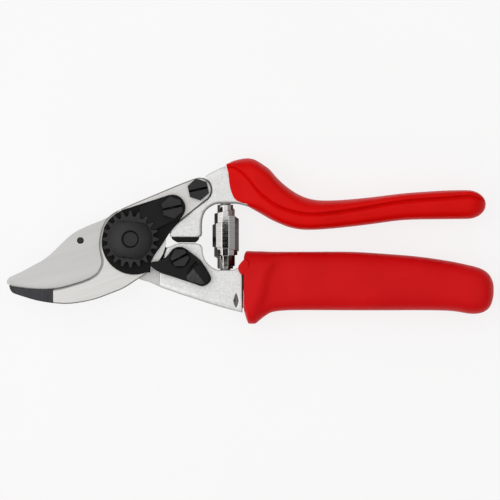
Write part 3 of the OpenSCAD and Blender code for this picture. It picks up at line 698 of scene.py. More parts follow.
class SHEARS_OT_upper_frame(ShearsOperator, bpy.types.Operator):
    """Forged upper frame with the broad rounding round its window"""
    bl_idname = "shears.upper_frame"
    bl_label = "Upper frame"

    # the chamfered edge of the window runs on along this line, below the coating's front
    EDGE = [[41.8, 14.7], [43.9, 14.45], [45.9, 14.0], [47.6, 13.5], [48.8, 14], [50, 14]]
    EDGE_START, EDGE_END, EDGE_TOP = 42.5, 49.6, 15.6
    # inside the coating the bar is a little slimmer, so that it stays under the web's hollow
    CUTS = 47, 47.6, 48.3, 49.55
    SLIM_FROM, SLIMMER = 48.2, 0.7
    # from here on the coating covers the bar, which needs no rounding
    COVERED_FROM = 46.9
    # here the tang's pocket runs out through the frame's side in a thin wedge, left sharp
    WEDGE, WEDGE_REACH = mm(30.2, 25.2), 1.8 * MM
    # the window's rim lies beyond this place and below this one
    WINDOW_FROM, WINDOW_TOP = 28.5, 17

    def execute(self, context):
        size = settings("forging")
        seam = beside("anvil_blade", 0.5 * MM)
        bm = merged_copy("upper_handle")
        for x in self.CUTS:
            cut_across(bm, mm(x, 0, 0), (1, 0, 0))
        for vert in bm.verts:
            if vert.co.x > self.SLIM_FROM * MM:
                vert.co.z = MID_Z + (vert.co.z - MID_Z) * self.SLIMMER
        for vert in bm.verts:
            at = vert.co / MM
            if self.EDGE_START < at.x < self.EDGE_END and at.y < self.EDGE_TOP:
                vert.co.y = on_line(self.EDGE, at.x)[0] * MM

        def width(edge):
            at = edge_middle(edge) / MM
            if at.x > self.COVERED_FROM or near_axis(edge, self.WEDGE, self.WEDGE_REACH):
                return 0.0
            rim = rim_edge(edge, FRONT) or rim_edge(edge, BACK)
            if rim and at.x > self.WINDOW_FROM and at.y < self.WINDOW_TOP and not seam(edge):
                return size.window
            return size.small

        piece("upper_frame_forging", bm,
              finish_named("bead_blasted_aluminium"), "upper_frame", ["upper_handle"], width)
        return {"FINISHED"}


class SHEARS_OT_cutting_blade(ShearsOperator, bpy.types.Operator):
    """Cutting blade with its edges broken, and the small stud in it"""
    bl_idname = "shears.cutting_blade"
    bl_label = "Cutting blade"

    def execute(self, context):
        size = settings("blade")
        piece("cutting_blade_ground", merged_copy("cutting_blade"),
              finish_named("belt_ground_blade_steel"), "lower_frame", ["cutting_blade"],
              lambda edge: size.edge_break, 2)
        # the stud has short edges, which take only a narrow rounding
        piece("blade_stud_turned", merged_copy("blade_stud"),
              finish_named("black_oxide_steel"), "lower_frame", ["blade_stud"],
              lambda edge: size.edge_break / 3, 2)
        return {"FINISHED"}


class SHEARS_OT_hook_blade(ShearsOperator, bpy.types.Operator):
    """Hooked counter blade: chamfered inner and outer edges in painted shade, and a tip facet painted
    dark as a reflection
    """
    bl_idname = "shears.hook_blade"
    bl_label = "Hooked counter blade"

    # edges above this height belong to the front
    UPPER = 14 * MM
    # a line between the hook's inner and outer edges, and where its inner side turns upright
    BETWEEN = [(-60, -17.9), (-46, -20.8), (-30, -22), (-18, -19.5), (-11, -13), (-6, 0), (0, 30)]
    UPRIGHT_X, UPRIGHT_Y = -6.5, -13
    # no chamfer runs round the tang, which lies this near the pivot, to the right and above
    TANG_REACH, TANG_X, TANG_Y = 24, 8, -14
    # the tip's facet is ground away from the front face, deeper towards the outer edge
    FACET_STEP, FACET_DEPTH = 0.25 * MM, 0.1 * MM
    FACET_Y, FACET_SLOPE = -20.9 * MM, -0.11

    def execute(self, context):
        size = settings("blade")
        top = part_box("anvil_blade")[1].z
        bm = merged_copy("anvil_blade")
        inner, outer = [], []
        front = [f for f in bm.faces
                 if f.normal.z > FACING and f.calc_center_median().z > self.UPPER]
        for edge in dict.fromkeys(e for f in front for e in f.edges):
            at = edge_middle(edge)
            far = at.length / MM > self.TANG_REACH
            chamfered = far or at.x / MM < self.TANG_X or at.y / MM < self.TANG_Y
            if chamfered and edge.calc_face_angle(0) > SHARP:
                (inner if self.inside(at / MM) else outer).append(edge)
        # painted shade: the chamfers get the grey strip colour
        for edges, width in ((inner, size.inner_strip), (outer, size.outer_strip)):
            bmesh.ops.bevel(bm, geom=[e for e in edges if e.is_valid], offset=width,
                            offset_type="OFFSET", segments=2, profile=0.5, affect="EDGES",
                            clamp_overlap=False, material=1)
        for x in (size.tip_x, size.tip_x - self.FACET_STEP):
            cut_across(bm, (x, 0, 0), (1, 0, 0))
        for vert in bm.verts:
            at = vert.co
            if at.x < size.tip_x - 0.8 * self.FACET_STEP:
                start = self.FACET_Y + (at.x - size.tip_x) * self.FACET_SLOPE
                fall = self.FACET_DEPTH + size.tip_fall * max(0.0, start - at.y)
                at.z = min(at.z, top - fall)
        bmesh.ops.dissolve_degenerate(bm, dist=ONE_POINT, edges=bm.edges)
        # painted reflection on the tip facet
        paint(bm, {2: lambda at, facing: at.x * MM < size.tip_x and facing.z > FACING})
        piece("hook_blade_ground", bm, finish_named("satin_hook_steel"),
              "upper_frame", ["anvil_blade"],
              lambda edge: size.edge_break if edge_middle(edge).z < self.UPPER else 0.0, 1,
              [finish_named("painted_shade_strip_steel"), finish_named("painted_reflection_tip_steel")])
        return {"FINISHED"}

    def inside(self, at):
        """Whether a point of the front rim lies on the concave inner side of the hook"""
        if at.y > self.UPRIGHT_Y:
            return at.x < self.UPRIGHT_X
        return at.x <= 0 and at.y > on_line(self.BETWEEN, at.x)[0]


class SHEARS_OT_pivot_stack(ShearsOperator, bpy.types.Operator):
    """Locking plate, toothed segment, toothed nut and pivot bolt"""
    bl_idname = "shears.pivot_stack"
    bl_label = "Pivot pieces"

    # height of the nut's toothed disc, and the outline of its boss from the bore outwards:
    # (radius, height over the nut's top)
    DISC = 2.6
    BOSS = [(3.1, -1.8), (3.1, -0.5), (3.7, 0), (4.6, -0.1), (5.8, -0.36), (7, -0.78),
            (8.1, -1.3), (9, -1.82), (9.6, -2.3), (9.6, -2.4)]
    BOSS_STEPS = 96
    # the boss's two milled flats: (side, distance from the axis, lean upwards)
    FLATS = (1, 7.15, 0.0), (-1, 6.7, 0.7)
    FLATS_TURN = math.radians(-6)
    # edges round the boss's foot stay sharp; the teeth end this far below the nut's top
    FOOT_REACH, FOOT_LOW, FOOT_HIGH = 9.7 * MM, 2.6 * MM, 1.9 * MM
    TEETH_TOP = 1.6 * MM
    # the pivot bolt is only rounded above its head
    BOLT_HEAD = 5 * MM

    def execute(self, context):
        size = settings("fixing")
        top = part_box("toothed_nut")[1].z
        oxide = finish_named("black_oxide_steel")

        def nut_width(edge):
            at = edge_middle(edge)
            below = top - at.z
            if at.xy.length < self.FOOT_REACH and self.FOOT_HIGH < below < self.FOOT_LOW:
                return 0.0
            return size.tooth_edge if below > self.TEETH_TOP else size.boss_edge

        piece("toothed_nut_forged", self.nut(), oxide, "upper_frame",
              ["toothed_nut"], nut_width)
        piece("toothed_segment_pressed", merged_copy("toothed_segment"),
              finish_named("pressed_black_steel"), "upper_frame", ["toothed_segment"],
              lambda edge: size.tooth_edge)
        piece("locking_plate_stamped", merged_copy("locking_plate"),
              finish_named("black_coated_plate"), "upper_frame", ["locking_plate"],
              lambda edge: size.plate_edge)
        piece("pivot_bolt_turned", merged_copy("pivot_bolt"), oxide,
              "upper_frame", ["pivot_bolt"],
              lambda edge: size.tooth_edge if edge_middle(edge).z > self.BOLT_HEAD else 0.0)
        return {"FINISHED"}

    def nut(self):
        """The toothed disc with a crowned, turned boss and its two milled flats"""
        low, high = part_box("toothed_nut")
        bm = bmesh.new()
        verts = [bm.verts.new((r * MM, 0, high.z + z * MM)) for r, z in self.BOSS]
        line = [bm.edges.new(pair) for pair in zip(verts, verts[1:] + verts[:1])]
        bmesh.ops.spin(bm, geom=verts + line, cent=(0, 0, 0), axis=(0, 0, 1),
                       steps=self.BOSS_STEPS, angle=2 * math.pi, use_merge=True)
        bmesh.ops.remove_doubles(bm, verts=bm.verts, dist=ONE_POINT)
        turn = Matrix.Rotation(self.FLATS_TURN, 3, "Z")
        for side, reach, lean in self.FLATS:
            rim = cut_across(bm, turn @ Vector((0, side * reach * MM, high.z)),
                             turn @ Vector((0, side, lean)), clear_outer=True)
            bmesh.ops.edgeloop_fill(bm, edges=rim)
        bmesh.ops.recalc_face_normals(bm, faces=bm.faces)
        boss = mesh_of(bm, "boss")
        bm = merged_copy("toothed_nut")
        rim = cut_across(bm, (0, 0, low.z + (self.DISC - 0.05) * MM), (0, 0, 1), clear_outer=True)
        bmesh.ops.triangle_fill(bm, edges=rim, use_beauty=True, normal=(0, 0, 1))
        join_flat_faces(bm)
        bm.from_mesh(boss)
        bpy.data.meshes.remove(boss)
        return bm


class SHEARS_OT_slotted_bolts(ShearsOperator, bpy.types.Operator):
    """The three slotted hexagon bolts"""
    bl_idname = "shears.slotted_bolts"
    bl_label = "Slotted bolts"

    BOLTS = {"tang_bolt": "upper_frame", "segment_bolt": "upper_frame",
             "catch_bolt": "lower_frame"}
    # the slot lies between these depths below the head's top, and inside the head's flats
    SLOT_HIGH, SLOT_LOW, SLOT_REACH = 0.2, 1.4, 3.4
    # shorter edges belong to the slot's ends and the shank
    LONG_EDGE = 1.2 * MM

    def execute(self, context):
        size = settings("fixing")
        for node, body in self.BOLTS.items():
            axis, top = middle(node).xy / MM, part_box(node)[1].z / MM

            def in_slot(at, facing):
                away = (at.xy - axis).to_3d()
                outwards = facing.dot(away.normalized())
                return (self.SLOT_HIGH < top - at.z < self.SLOT_LOW and facing.z > -0.5
                        and away.length < self.SLOT_REACH and outwards < 0.1)

            bm = merged_copy(node)
            # painted shade: the slots' faces take the near-black slot colour
            paint(bm, {1: in_slot})
            piece(node + "_turned", bm,
                  finish_named("black_oxide_steel"), body, [node],
                  lambda edge: size.head_edge if edge.calc_length() > self.LONG_EDGE else 0.0, 2,
                  extra=[finish_named("painted_shade_slots")])
        return {"FINISHED"}


class SHEARS_OT_bumper(ShearsOperator, bpy.types.Operator):
    """Rubber bumper under the upper frame's foot"""
    bl_idname = "shears.bumper"
    bl_label = "Bumper"

    # rounding of the block's edges
    EDGE = 0.3 * MM

    def execute(self, context):
        piece("bumper_moulded", merged_copy("bumper"),
              finish_named("moulded_black_rubber"), "upper_frame", ["bumper"],
              lambda edge: self.EDGE)
        return {"FINISHED"}


class SHEARS_OT_catch(ShearsOperator, bpy.types.Operator):
    """Thumb catch with its faceted pad"""
    bl_idname = "shears.catch"
    bl_label = "Thumb catch"

    # the pad falls to both sides from a ridge, gently to the side that the thumb rubs
    RIDGE_START, RIDGE_END = mm(25.6, -12, 0), mm(29.9, -17.6, 0)
    DEEPEST = 1.2 * MM
    PAD_LOW = 19.9
    # painted shade: the thumb groove's faces are coloured near black
    GROOVE, GROOVE_REACH, GROOVE_TOP = Vector((25.2, -11.6)), 3.2, 19.6
    # round the bolt's pocket and at one narrow corner there is no room for a rounding
    POCKET_REACH = 6.2 * MM
    CORNER, CORNER_REACH = mm(23.1, -14.6), 1.2 * MM

    def execute(self, context):
        size = settings("catch")
        pad_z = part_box("catch_lever")[1].z - 0.1 * MM
        bolt = middle("catch_bolt")
        across = Vector((0, 0, 1)).cross(self.RIDGE_END - self.RIDGE_START).normalized()
        bm = merged_copy("catch_lever")
        bm.normal_update()
        pad = [f for f in bm.faces if f.normal.z > FACING and f.calc_center_median().z > pad_z]
        parts = dict.fromkeys(part for f in pad for part in (*f.verts, *f.edges, f))
        cut_across(bm, self.RIDGE_START, across, list(parts))
        for vert in bm.verts:
            if vert.co.z > pad_z:
                away = (vert.co - self.RIDGE_START).dot(across)
                fall = size.slope * max(0, -away) + size.back_slope * max(0, away)
                vert.co.z -= min(self.DEEPEST, fall)

        # partly wear, partly painted highlight: the pad's side that faces the lamp takes the paler
        # nylon
        def rubbed(at, facing):
            return (at.z > self.PAD_LOW and facing.z > 0.5
                    and (at * MM - self.RIDGE_START).dot(across) < 0)

        def groove_shade(at, facing):
            return ((at.xy - self.GROOVE).length < self.GROOVE_REACH and at.z < self.GROOVE_TOP
                    and 0.4 < facing.z < FACING)

        paint(bm, {1: rubbed, 2: groove_shade})

        def width(edge):
            if near_axis(edge, bolt, self.POCKET_REACH) or not edge.is_convex:
                return 0.0
            if near_axis(edge, self.CORNER, self.CORNER_REACH):
                return 0.0
            return size.rim if edge_middle(edge).z < self.PAD_LOW * MM else size.recess

        piece("thumb_catch_moulded", bm,
              finish_named("moulded_black_nylon"), "catch", ["catch_lever"], width,
              extra=[finish_named("worn_and_highlit_nylon"), finish_named("painted_shade_groove")])
        return {"FINISHED"}


class SHEARS_OT_spring(ShearsOperator, bpy.types.Operator):
    """Volute spring: one strip coiled outwards to a tall middle turn and inwards again"""
    bl_idname = "shears.spring"
    bl_label = "Volute spring"

    # [turns from the middle, radius, Y of the lower edge, Y of the upper edge]
    COIL = [[-3.5, 3.1, -12.1, -9.8], [-3, 3.3, -12.1, -9], [-2.5, 3.3, -12, -7.2],
            [-2, 4, -11, -5.8], [-1.5, 4.7, -7.3, -2], [-1, 5.1, -6.5, 2],
            [-0.5, 5.45, -3, 5.5], [-0.25, 5.6, -3.6, 7], [-0.17, 5.62, -3.9, 9.8],
            [-0.08, 5.68, -4.5, 9.5], [0, 5.75, -5, 8.4], [0.5, 4.75, 3.5, 10.2],
            [1, 4, 6, 12.4], [1.5, 3.4, 9.6, 14], [2, 3.3, 11.4, 14.2], [2.5, 3.1, 12.4, 14.2]]
    # the coil's axis runs along Y at this place
    AXIS_X = 38.7
    # heights below and above which the spring would follow the lower and the upper frame; nothing in
    # this script reads them
    LOWER_END, UPPER_END = -12.6, 14.6
    # the strip bends at corners of at least this angle, and each gets a small rounding
    CORNER, CORNER_ROUNDING = math.radians(12), 0.16 * MM
    # a face smaller than this belongs to a corner's rounding
    SMALL_FACE = 0.5 * MM * MM
    # faces that look more sideways than this get the painted dark reflection; below LOW_TURNS less is
    # enough
    FLANK, LOW_FLANK, LOW_TURNS = 0.7, 0.4, -6.5

    def execute(self, context):
        size = settings("spring")
        steps = size.facets
        first, last = self.COIL[0][0], self.COIL[-1][0]
        bm = bmesh.new()
        edge_verts = None
        for i in range(round((last - first) * steps) + 1):
            turn = first + i / steps
            radius, bottom, top = on_line(self.COIL, turn)
            # at turn 0 the strip is at +X; it came there over the front
            angle = math.radians(90) - 2 * math.pi * (turn + 0.25) + math.pi / steps
            x = self.AXIS_X * MM + radius * MM * math.cos(angle)
            z = MID_Z + radius * MM * math.sin(angle)
            ends = (Vector((x, bottom * MM, z)), Vector((x, top * MM, z)))
            if edge_verts is None:
                edge_verts = [bm.verts.new(e) for e in ends]
                bm.edges.new(edge_verts)
                continue
            made = bmesh.ops.extrude_edge_only(bm, edges=[bm.edges.get(edge_verts)])["geom"]
            fresh = {v for v in made if isinstance(v, bmesh.types.BMVert)}
            edge_verts = [next(e.other_vert(v) for e in v.link_edges if e.other_vert(v) in fresh)
                          for v in edge_verts]
            for vert, at in zip(edge_verts, ends):
                vert.co = at
        bmesh.ops.recalc_face_normals(bm, faces=bm.faces)
        bmesh.ops.solidify(bm, geom=bm.faces[:], thickness=size.strip)
        corners = [e for e in bm.edges if e.is_manifold and e.calc_face_angle(0) > self.CORNER]
        bmesh.ops.bevel(bm, geom=corners, offset=self.CORNER_ROUNDING, offset_type="OFFSET",
                        segments=2, profile=0.5, affect="EDGES", clamp_overlap=False, material=-1)
        bmesh.ops.recalc_face_normals(bm, faces=bm.faces)
        # painted reflection: the strip's flanks take the dark spring colour
        paint(bm, {1: lambda at, facing: (abs(facing.x) > self.FLANK
                                          or at.y < self.LOW_TURNS and facing.x > self.LOW_FLANK)})
        for face in bm.faces:
            face.smooth = face.calc_area() < self.SMALL_FACE
        name = "volute_spring_coiled"
        made = placed(name, mesh_of(bm, name))
        for finish in ("nickel_plated_spring_steel", "painted_reflection_spring_steel"):
            made.data.materials.append(finish_named(finish))
        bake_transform(made)
        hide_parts("volute_spring")
        return {"FINISHED"}


class SHEARS_OT_upper_coating(ShearsOperator, bpy.types.Operator):
    """Dipped coating of the upper handle: a broad palm rest over a narrower web"""
    bl_idname = "shears.upper_coating"
    bl_label = "Upper coating"

    # [X and Y of the top, X and Y of the bottom, share of the height that the palm rest takes]
    STATIONS = [
        [39, 30.5, 42.95, 15.7, 0.1], [40.7, 31.6, 44.6, 15, 0.15],
        [43, 32.5, 46.4, 14.3, 0.23], [47.4, 33.3, 48.4, 13.2, 0.41],
        [50.8, 32.7, 50.6, 11.95, 0.55], [54, 30.8, 53, 10.6, 0.62],
        [57, 28.6, 55.2, 9.3, 0.64], [60, 25.1, 57.5, 8, 0.63], [64, 21.5, 61, 6.4, 0.6],
        [69.3, 18.1, 66, 4.6, 0.54], [75.9, 16.1, 73, 3.8, 0.5], [85.7, 16.1, 85, 4.6, 0.44],
        [98.9, 17.3, 98.9, 6.2, 0.37], [112, 18.9, 112, 7.9, 0.32], [128, 20, 128, 8.2, 0.29],
        [138, 20.2, 138, 8.3, 0.24]]
    # number of sections over which the front grows to its full width
    FRONT_SECTIONS = 12
    # half widths of the palm rest at the front, its growth, and the web's; the round end's length
    REST, REST_GROWTH = 8.6, 1.4
    WEB = 7.6
    END = 7.6
    # the rest's largest rounding, and the height that the crease's step takes
    TOP_ROUNDING = 4.6
    STEP = 1.6
    # the lower edge rounds more from TAPER_FROM on, over TAPER_LENGTH
    TAPER_FROM, TAPER_LENGTH = 46, 7
    # middle and half length of the hollow beside the palm rest's front
    HOLLOW_X, HOLLOW_REACH = 44, 9
    # the lip of the mouth turns in this far round the forged bar, over a section 15 mm high
    MOUTH_DEPTH, MOUTH_HEIGHT = 3, 15

    def section(self, station, shrink, along):
        """Points round one section; along is 0 at the front edge and 1 where the rest is full"""
        size = settings("grip")
        top_x, top_y, low_x, low_y, share = station
        height = math.hypot(top_x - low_x, top_y - low_y)
        crease = (1 - share) * height
        rest = (self.REST + self.REST_GROWTH * along) * shrink
        web = self.WEB * (0.94 + 0.06 * along) * shrink
        deep = size.crease / MM * min(1.0, share / 0.3) * shrink
        near = abs(top_x - self.HOLLOW_X) / self.HOLLOW_REACH
        hollow = size.hollow / MM * max(0.0, 1 - near) * shrink
        # the web's lower edge: a quarter of an oval, low_r high and lift short of the full width
        tapered = min(1.0, max(0.0, (low_x - self.TAPER_FROM) / self.TAPER_LENGTH))
        low_r = 0.9 + (0.62 * (crease - 1.2) - 0.9) * tapered
        lift = 0.7 - 0.4 * tapered
        swell = 0.35 + 0.4 * tapered
        side = [(low_r * (1 - math.cos(math.radians(a))),
                 (web - lift) * math.sin(math.radians(a)) ** swell)
                for a in (12, 30, 52, 74)]
        # the web's side, with its hollow
        span = crease - 1.9 - low_r
        for t in (0.12, 0.4, 0.7, 1.0):
            dip = hollow * (math.sin(math.pi * t) if t < 1 else 0.3)
            side.append((low_r + span * t, web - lift + lift * t - dip))
        # the crease and the step out to the palm rest
        side += [(crease - 0.95, web - 0.05), (crease - 0.45, web - 0.45 * deep),
                 (crease - 0.1, web - deep), (crease + 0.15, web - 0.5 * deep),
                 (crease + 0.4, rest - 0.75), (crease + 0.85, rest - 0.2),
                 (crease + self.STEP, rest)]
        # the palm rest's side and its round top
        top_r = min(self.TOP_ROUNDING, 0.72 * share * height + 0.6)
        start = crease + self.STEP
        room = max(0.3, height - top_r - start)
        side += [(start + room * 0.5, rest - 0.02), (start + room, rest - 0.12)]
        side += [(start + room + (height - start - room) * math.sin(math.radians(a)),
                  (rest - 0.12) * math.cos(math.radians(a)) ** 0.8) for a in (18, 36, 54, 70, 82)]
        ring = [(0.0, 0.0)] + side + [(height, 0.0)] + [(h, -w) for h, w in reversed(side)]
        out = []
        for h, w in ring:
            h = height / 2 + (h - height / 2) * shrink
            at = h / height
            # the mouth's front edge is curved like a flat S
            sway = (1 - along) * (0.45 * math.sin(2 * math.pi * (1 - at))
                                  - 0.75 * math.sin(math.pi * at))
            out.append(mm(low_x + (top_x - low_x) * at + sway, low_y + (top_y - low_y) * at,
                          10 + w))
        return out

    def execute(self, context):
        curve = smooth_points(self.STATIONS)
        sections = [self.section(s, 1.0, min(1.0, i / self.FRONT_SECTIONS))
                    for i, s in enumerate(curve)]
        for degrees in range(12, 90, 12):
            turn = math.radians(degrees)
            end = list(self.STATIONS[-1])
            end[0] += self.END * math.sin(turn)
            end[2] += self.END * math.sin(turn)
            sections.append(self.section(end, math.cos(turn), 1.0))
        lip = self.section(curve[0], 1 - 2 * settings("grip").lip / MM / self.MOUTH_HEIGHT, 0)
        deep_lip = [at + mm(self.MOUTH_DEPTH, 0, 0) for at in lip]
        edge = [at + mm(0.35, 0, 0) for at in sections[0]]
        bm = lofted([deep_lip, lip, self.section(curve[0], 0.965, 0), edge] + sections[1:])
        subdivide(piece("upper_coating_dipped", bm, finish_named("dipped_red_vinyl"),
                        "upper_frame", ["upper_coating"]))
        return {"FINISHED"}


class SHEARS_OT_revolving_grip(ShearsOperator, bpy.types.Operator):
    """Sleeve of the revolving grip, with its collar, leaning waist and lug"""
    bl_idname = "shears.revolving_grip"
    bl_label = "Revolving grip"

    # [distance from the front, Y of the top, Y of the bottom, change of half width]
    STATIONS = [
        [0, -7.6, -27.8, -0.7], [0.25, -6.4, -29.6, -0.35], [0.7, -5.3, -31.4, -0.1],
        [1.3, -4.8, -33.2, 0], [1.9, -4.8, -34.5, 0], [2.8, -4.8, -34.72, 0],
        [4.6, -4.9, -34.7, 0], [5.4, -4.9, -34.25, 0], [7, -4.9, -32.9, 0],
        [9.2, -5, -31.2, 0], [11.5, -5.1, -30, 0], [15, -5.1, -29.4, 0],
        [20, -5.1, -29.15, 0], [28, -5.1, -29.1, 0],
        [44, -5.1, -29.2, 0], [59, -6, -29.2, 0], [72, -7.1, -29.15, 0],
        [85, -9, -29.4, 0], [92, -10.5, -30.5, 0], [96, -11.5, -30.55, -0.2],
        [99.2, -13, -29.5, -1.2], [101.4, -15.4, -27.2, -3.4], [102.6, -18.6, -23, -7]]
    # [Y, distance of the step behind the collar from the front]
    STEP = [[-36, 4.5], [-29.4, 5.7], [-26.4, 6.7], [-22.5, 8.1], [-17.6, 9.1], [-12.6, 10.6],
            [-8.7, 13.5], [-6.2, 17], [0, 24]]
    # X of the sleeve's front, half its width, and the number of points round it
    SLEEVE_FRONT = 46.2
    HALF_WIDTH = 10
    POINTS = 64
    # powers that make a section squarer than an oval, and that keep the step to the broad sides
    SQUARE_Y, SQUARE_Z, BROAD_SIDES = 0.7, 0.66, 0.5
    # the stop lug's outline, and the heights between which it stands
    LUG = [(48.6, -8.9), (46.6, -7.9), (45.2, -9.4), (44.1, -10.8), (43.9, -12),
           (44.3, -13.4), (45.4, -14.6), (48.6, -14.3)]
    LUG_BASE, LUG_TOP = 16.12 * MM, 18.75 * MM
    LUG_TOP_ROUNDING, LUG_ROUNDING = 0.8 * MM, 0.4 * MM

    def narrowing(self, x, y):
        """How much narrower the grip is at a place on its broad sides, in millimetres"""
        size = settings("grip")
        line = on_line(self.STEP, y)[0]
        fall = min(1.0, max(0.0, (x - line) * MM / size.waist_front + 0.5))
        fall *= fall * (3 - 2 * fall)
        fall *= math.exp(-(max(0.0, x - line) * MM / size.waist_back) ** 2)
        crest = min(1.0, max(0.0, (line - x) / line))
        return size.waist / MM * fall + size.crest / MM * crest

    def section(self, x, top, bottom, change):
        """Points round the sleeve at a distance from its front"""
        centre, half = (top + bottom) / 2, (top - bottom) / 2
        ring = []
        for k in range(self.POINTS):
            turn = 2 * math.pi * k / self.POINTS
            c, s = math.cos(turn), math.sin(turn)
            y = centre + math.copysign(half * abs(c) ** self.SQUARE_Y, c)
            deep = self.narrowing(x, y) * abs(s) ** self.BROAD_SIDES
            wide = (self.HALF_WIDTH + change - deep) * abs(s) ** self.SQUARE_Z
            ring.append(mm(self.SLEEVE_FRONT + x, y, 10 + math.copysign(wide, s)))
        return ring

    def execute(self, context):
        bm = lofted([self.section(*station) for station in smooth_points(self.STATIONS)])
        subdivide(piece("grip_sleeve_moulded", bm,
                        finish_named("moulded_red_vinyl"), "grip", ["grip_sleeve"]))
        self.lug()
        return {"FINISHED"}

    def lug(self):
        """The stop lug, which stands in front of the lower frame"""
        bm = bmesh.new()
        ring = first_loop(bm, [Vector((x * MM, y * MM, self.LUG_BASE)) for x, y in self.LUG])
        face = bmesh.ops.edgeloop_fill(bm, edges=loop_edges(ring))["faces"][0]
        made = bmesh.ops.extrude_face_region(bm, geom=[face])["geom"]
        upper = [v for v in made if isinstance(v, bmesh.types.BMVert)]
        bmesh.ops.translate(bm, verts=upper, vec=(0, 0, self.LUG_TOP - self.LUG_BASE))
        bmesh.ops.recalc_face_normals(bm, faces=bm.faces)

        def width(edge):
            return self.LUG_TOP_ROUNDING if rim_edge(edge, self.LUG_TOP) else self.LUG_ROUNDING

        piece("grip_lug_moulded", bm, finish_named("moulded_red_vinyl"), "grip",
              [], width)


class SHEARS_OT_hidden_fittings(ShearsOperator, bpy.types.Operator):
    """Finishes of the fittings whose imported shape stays: rivets, washers, axle, core, bushings"""
    bl_idname = "shears.hidden_fittings"
    bl_label = "Hidden fittings"

    def execute(self, context):
        finishes = {
            "zinc_plated_steel": ("blade_rivets", "pivot_washer", "catch_washer", "grip_axle",
                                  "retaining_washer", "retaining_screw"),
            # the thrust washer is black rubber; its black also stands in for the shadow in the gap
            # between the frame and the grip's collar
            "moulded_black_rubber": ("thrust_washer",),
            "moulded_black_nylon": ("grip_core",),
            "natural_acetal": ("front_bushing", "rear_bushing"),
        }
        for finish, nodes in finishes.items():
            for node in nodes:
                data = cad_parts[node].data
                data.materials.clear()
                data.materials.append(finish_named(finish))
        return {"FINISHED"}


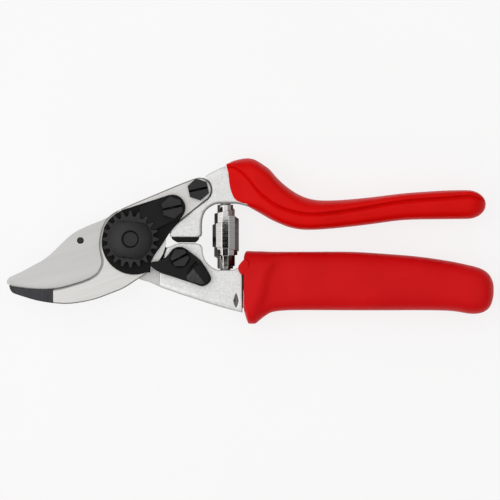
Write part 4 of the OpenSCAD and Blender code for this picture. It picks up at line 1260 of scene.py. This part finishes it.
class SHEARS_OT_stage(ShearsOperator, bpy.types.Operator):
    """Pale floor, soft overhead light and the camera"""
    bl_idname = "shears.stage"
    bl_label = "Stage"

    def execute(self, context):
        size = settings("stage")
        self.camera(context, size)
        self.sky(context, size)
        self.floor()
        self.flag()
        lamp = bpy.data.lights.new("softbox", "AREA")
        lamp.shape = "RECTANGLE"
        lamp.size, lamp.size_y = 1.5, 1.3
        lamp.energy = size.lamp_power
        box = placed("softbox", lamp)
        # the lamp stands 0.6 m up and to the left, and aims 50 mm to the right of the pivot
        box.location = (-0.6, 0.1, 0.6)
        box.rotation_euler = (-Vector((-0.65, 0.1, 0.6))).to_track_quat("-Z", "Y").to_euler()
        box.visible_camera = False
        context.scene.view_settings.view_transform = "Standard"
        return {"FINISHED"}

    @staticmethod
    def camera(context, size):
        """A long lens straight over the centre"""
        lens = bpy.data.cameras.new("camera")
        lens.lens = size.focal
        lens.clip_end = 20.0
        eye = placed("camera", lens)
        away = size.view_width * size.focal / lens.sensor_width
        eye.location = Vector(size.centre) + Vector((0, 0, away))
        context.scene.camera = eye

    @staticmethod
    def sky(context, size):
        """A sky that darkens towards the horizon, and that the camera sees as white"""
        world = bpy.data.worlds.new("studio")
        world.use_nodes = True
        context.scene.world = world
        tree = world.node_tree
        back = tree.nodes["Background"]
        back.inputs["Color"].default_value = (1, 1, 1, 1)
        up = add_node(tree, "ShaderNodeTexCoord").outputs["Generated"]
        height = add_node(tree, "ShaderNodeSeparateXYZ", links={0: up}).outputs["Z"]
        shade = add_node(tree, "ShaderNodeMapRange",
                         {1: 0.4, 2: 1.0, 3: size.horizon, 4: size.overhead}, {0: height},
                         interpolation_type="LINEAR")
        ray = add_node(tree, "ShaderNodeLightPath").outputs["Is Camera Ray"]
        seen = add_node(tree, "ShaderNodeMix", {3: 1.0}, {0: ray, 2: shade.outputs[0]})
        tree.links.new(seen.outputs[0], back.inputs["Strength"])

    @staticmethod
    def card(name, size, at):
        """A flat card of this half size, facing up, with its middle at this place"""
        bm = bmesh.new()
        bmesh.ops.create_grid(bm, x_segments=1, y_segments=1, size=1.0)
        bmesh.ops.scale(bm, verts=bm.verts, vec=(*size, 1))
        bmesh.ops.translate(bm, verts=bm.verts, vec=at)
        made = placed(name, mesh_of(bm, name))
        made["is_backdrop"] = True
        return made

    def floor(self):
        """A pale table that keeps the shadow and shows white to the camera and to mirrors"""
        plane = self.card("floor", (4, 4), (0, 0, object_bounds()[0][2] - 0.02 * MM))
        made, tree, shader, place = new_material("matt_white_table", Roughness=0.9)
        cloud = add_node(tree, "ShaderNodeTexNoise", grains(60.0), {"Vector": place}).outputs[0]
        two_tone(tree, shader, cloud, "#F4F4F4", "#F8F8F8")
        path = add_node(tree, "ShaderNodeLightPath").outputs
        seen = path["Is Camera Ray"]
        for ray in ("Is Glossy Ray", "Is Transmission Ray"):
            seen = add_node(tree, "ShaderNodeMath", None, {0: seen, 1: path[ray]},
                            operation="MAXIMUM").outputs[0]
        glow = add_node(tree, "ShaderNodeEmission", {"Strength": 1.0})
        share = add_node(tree, "ShaderNodeMath", {1: 0.8}, {0: seen}, operation="MULTIPLY")
        mixed = add_node(tree, "ShaderNodeMixShader", None,
                         {0: share.outputs[0], 1: shader.outputs[0], 2: glow.outputs[0]})
        tree.links.new(mixed.outputs[0], tree.nodes["Material Output"].inputs["Surface"])
        plane.data.materials.append(made)

    def flag(self):
        """A dark card beside the lens, which the bright spring mirrors as on a copy stand"""
        dark = self.card("dark_card", mm(120, 13), mm(34, -2.2, 500))
        made, tree, shader, place = new_material("black_card", Roughness=0.9)
        cloud = add_node(tree, "ShaderNodeTexNoise", grains(20.0), {"Vector": place}).outputs[0]
        mix = add_node(tree, "ShaderNodeMix", {6: colour("#060606"), 7: colour("#0A0A0A")},
                       {0: cloud}, data_type="RGBA")
        tree.links.new(mix.outputs[2], shader.inputs["Base Color"])
        dark.data.materials.append(made)
        dark.visible_camera = False
        dark.visible_diffuse = False
        dark.visible_shadow = False


OPERATORS = [
    SHEARS_OT_lower_frame, SHEARS_OT_upper_frame, SHEARS_OT_cutting_blade, SHEARS_OT_hook_blade,
    SHEARS_OT_pivot_stack, SHEARS_OT_slotted_bolts, SHEARS_OT_bumper, SHEARS_OT_catch,
    SHEARS_OT_spring, SHEARS_OT_upper_coating, SHEARS_OT_revolving_grip,
    SHEARS_OT_hidden_fittings, SHEARS_OT_stage,
]


class SHEARS_PT_makers(bpy.types.Panel):
    """Lists the makers in the order in which they run"""
    bl_idname = "SHEARS_PT_makers"
    bl_label = "Pruning shears"
    bl_space_type = "VIEW_3D"
    bl_region_type = "UI"
    bl_category = "Shears"

    def draw(self, context):
        for maker in OPERATORS:
            self.layout.operator(maker.bl_idname)


def register():
    """Registers the settings, the makers and the panel"""
    for group in GROUPS.values():
        bpy.utils.register_class(group)
    for name, group in GROUPS.items():
        setattr(bpy.types.Scene, name, PointerProperty(type=group))
    for maker in OPERATORS:
        bpy.utils.register_class(maker)
    bpy.utils.register_class(SHEARS_PT_makers)


def unregister():
    """Takes out what register() put in"""
    bpy.utils.unregister_class(SHEARS_PT_makers)
    for maker in reversed(OPERATORS):
        bpy.utils.unregister_class(maker)
    for name in GROUPS:
        delattr(bpy.types.Scene, name)
    for group in GROUPS.values():
        bpy.utils.unregister_class(group)


def main():
    """Runs every maker in order"""
    register()
    for maker in OPERATORS:
        space, name = maker.bl_idname.split(".")
        getattr(getattr(bpy.ops, space), name)()


if __name__ == "__main__":
    main()
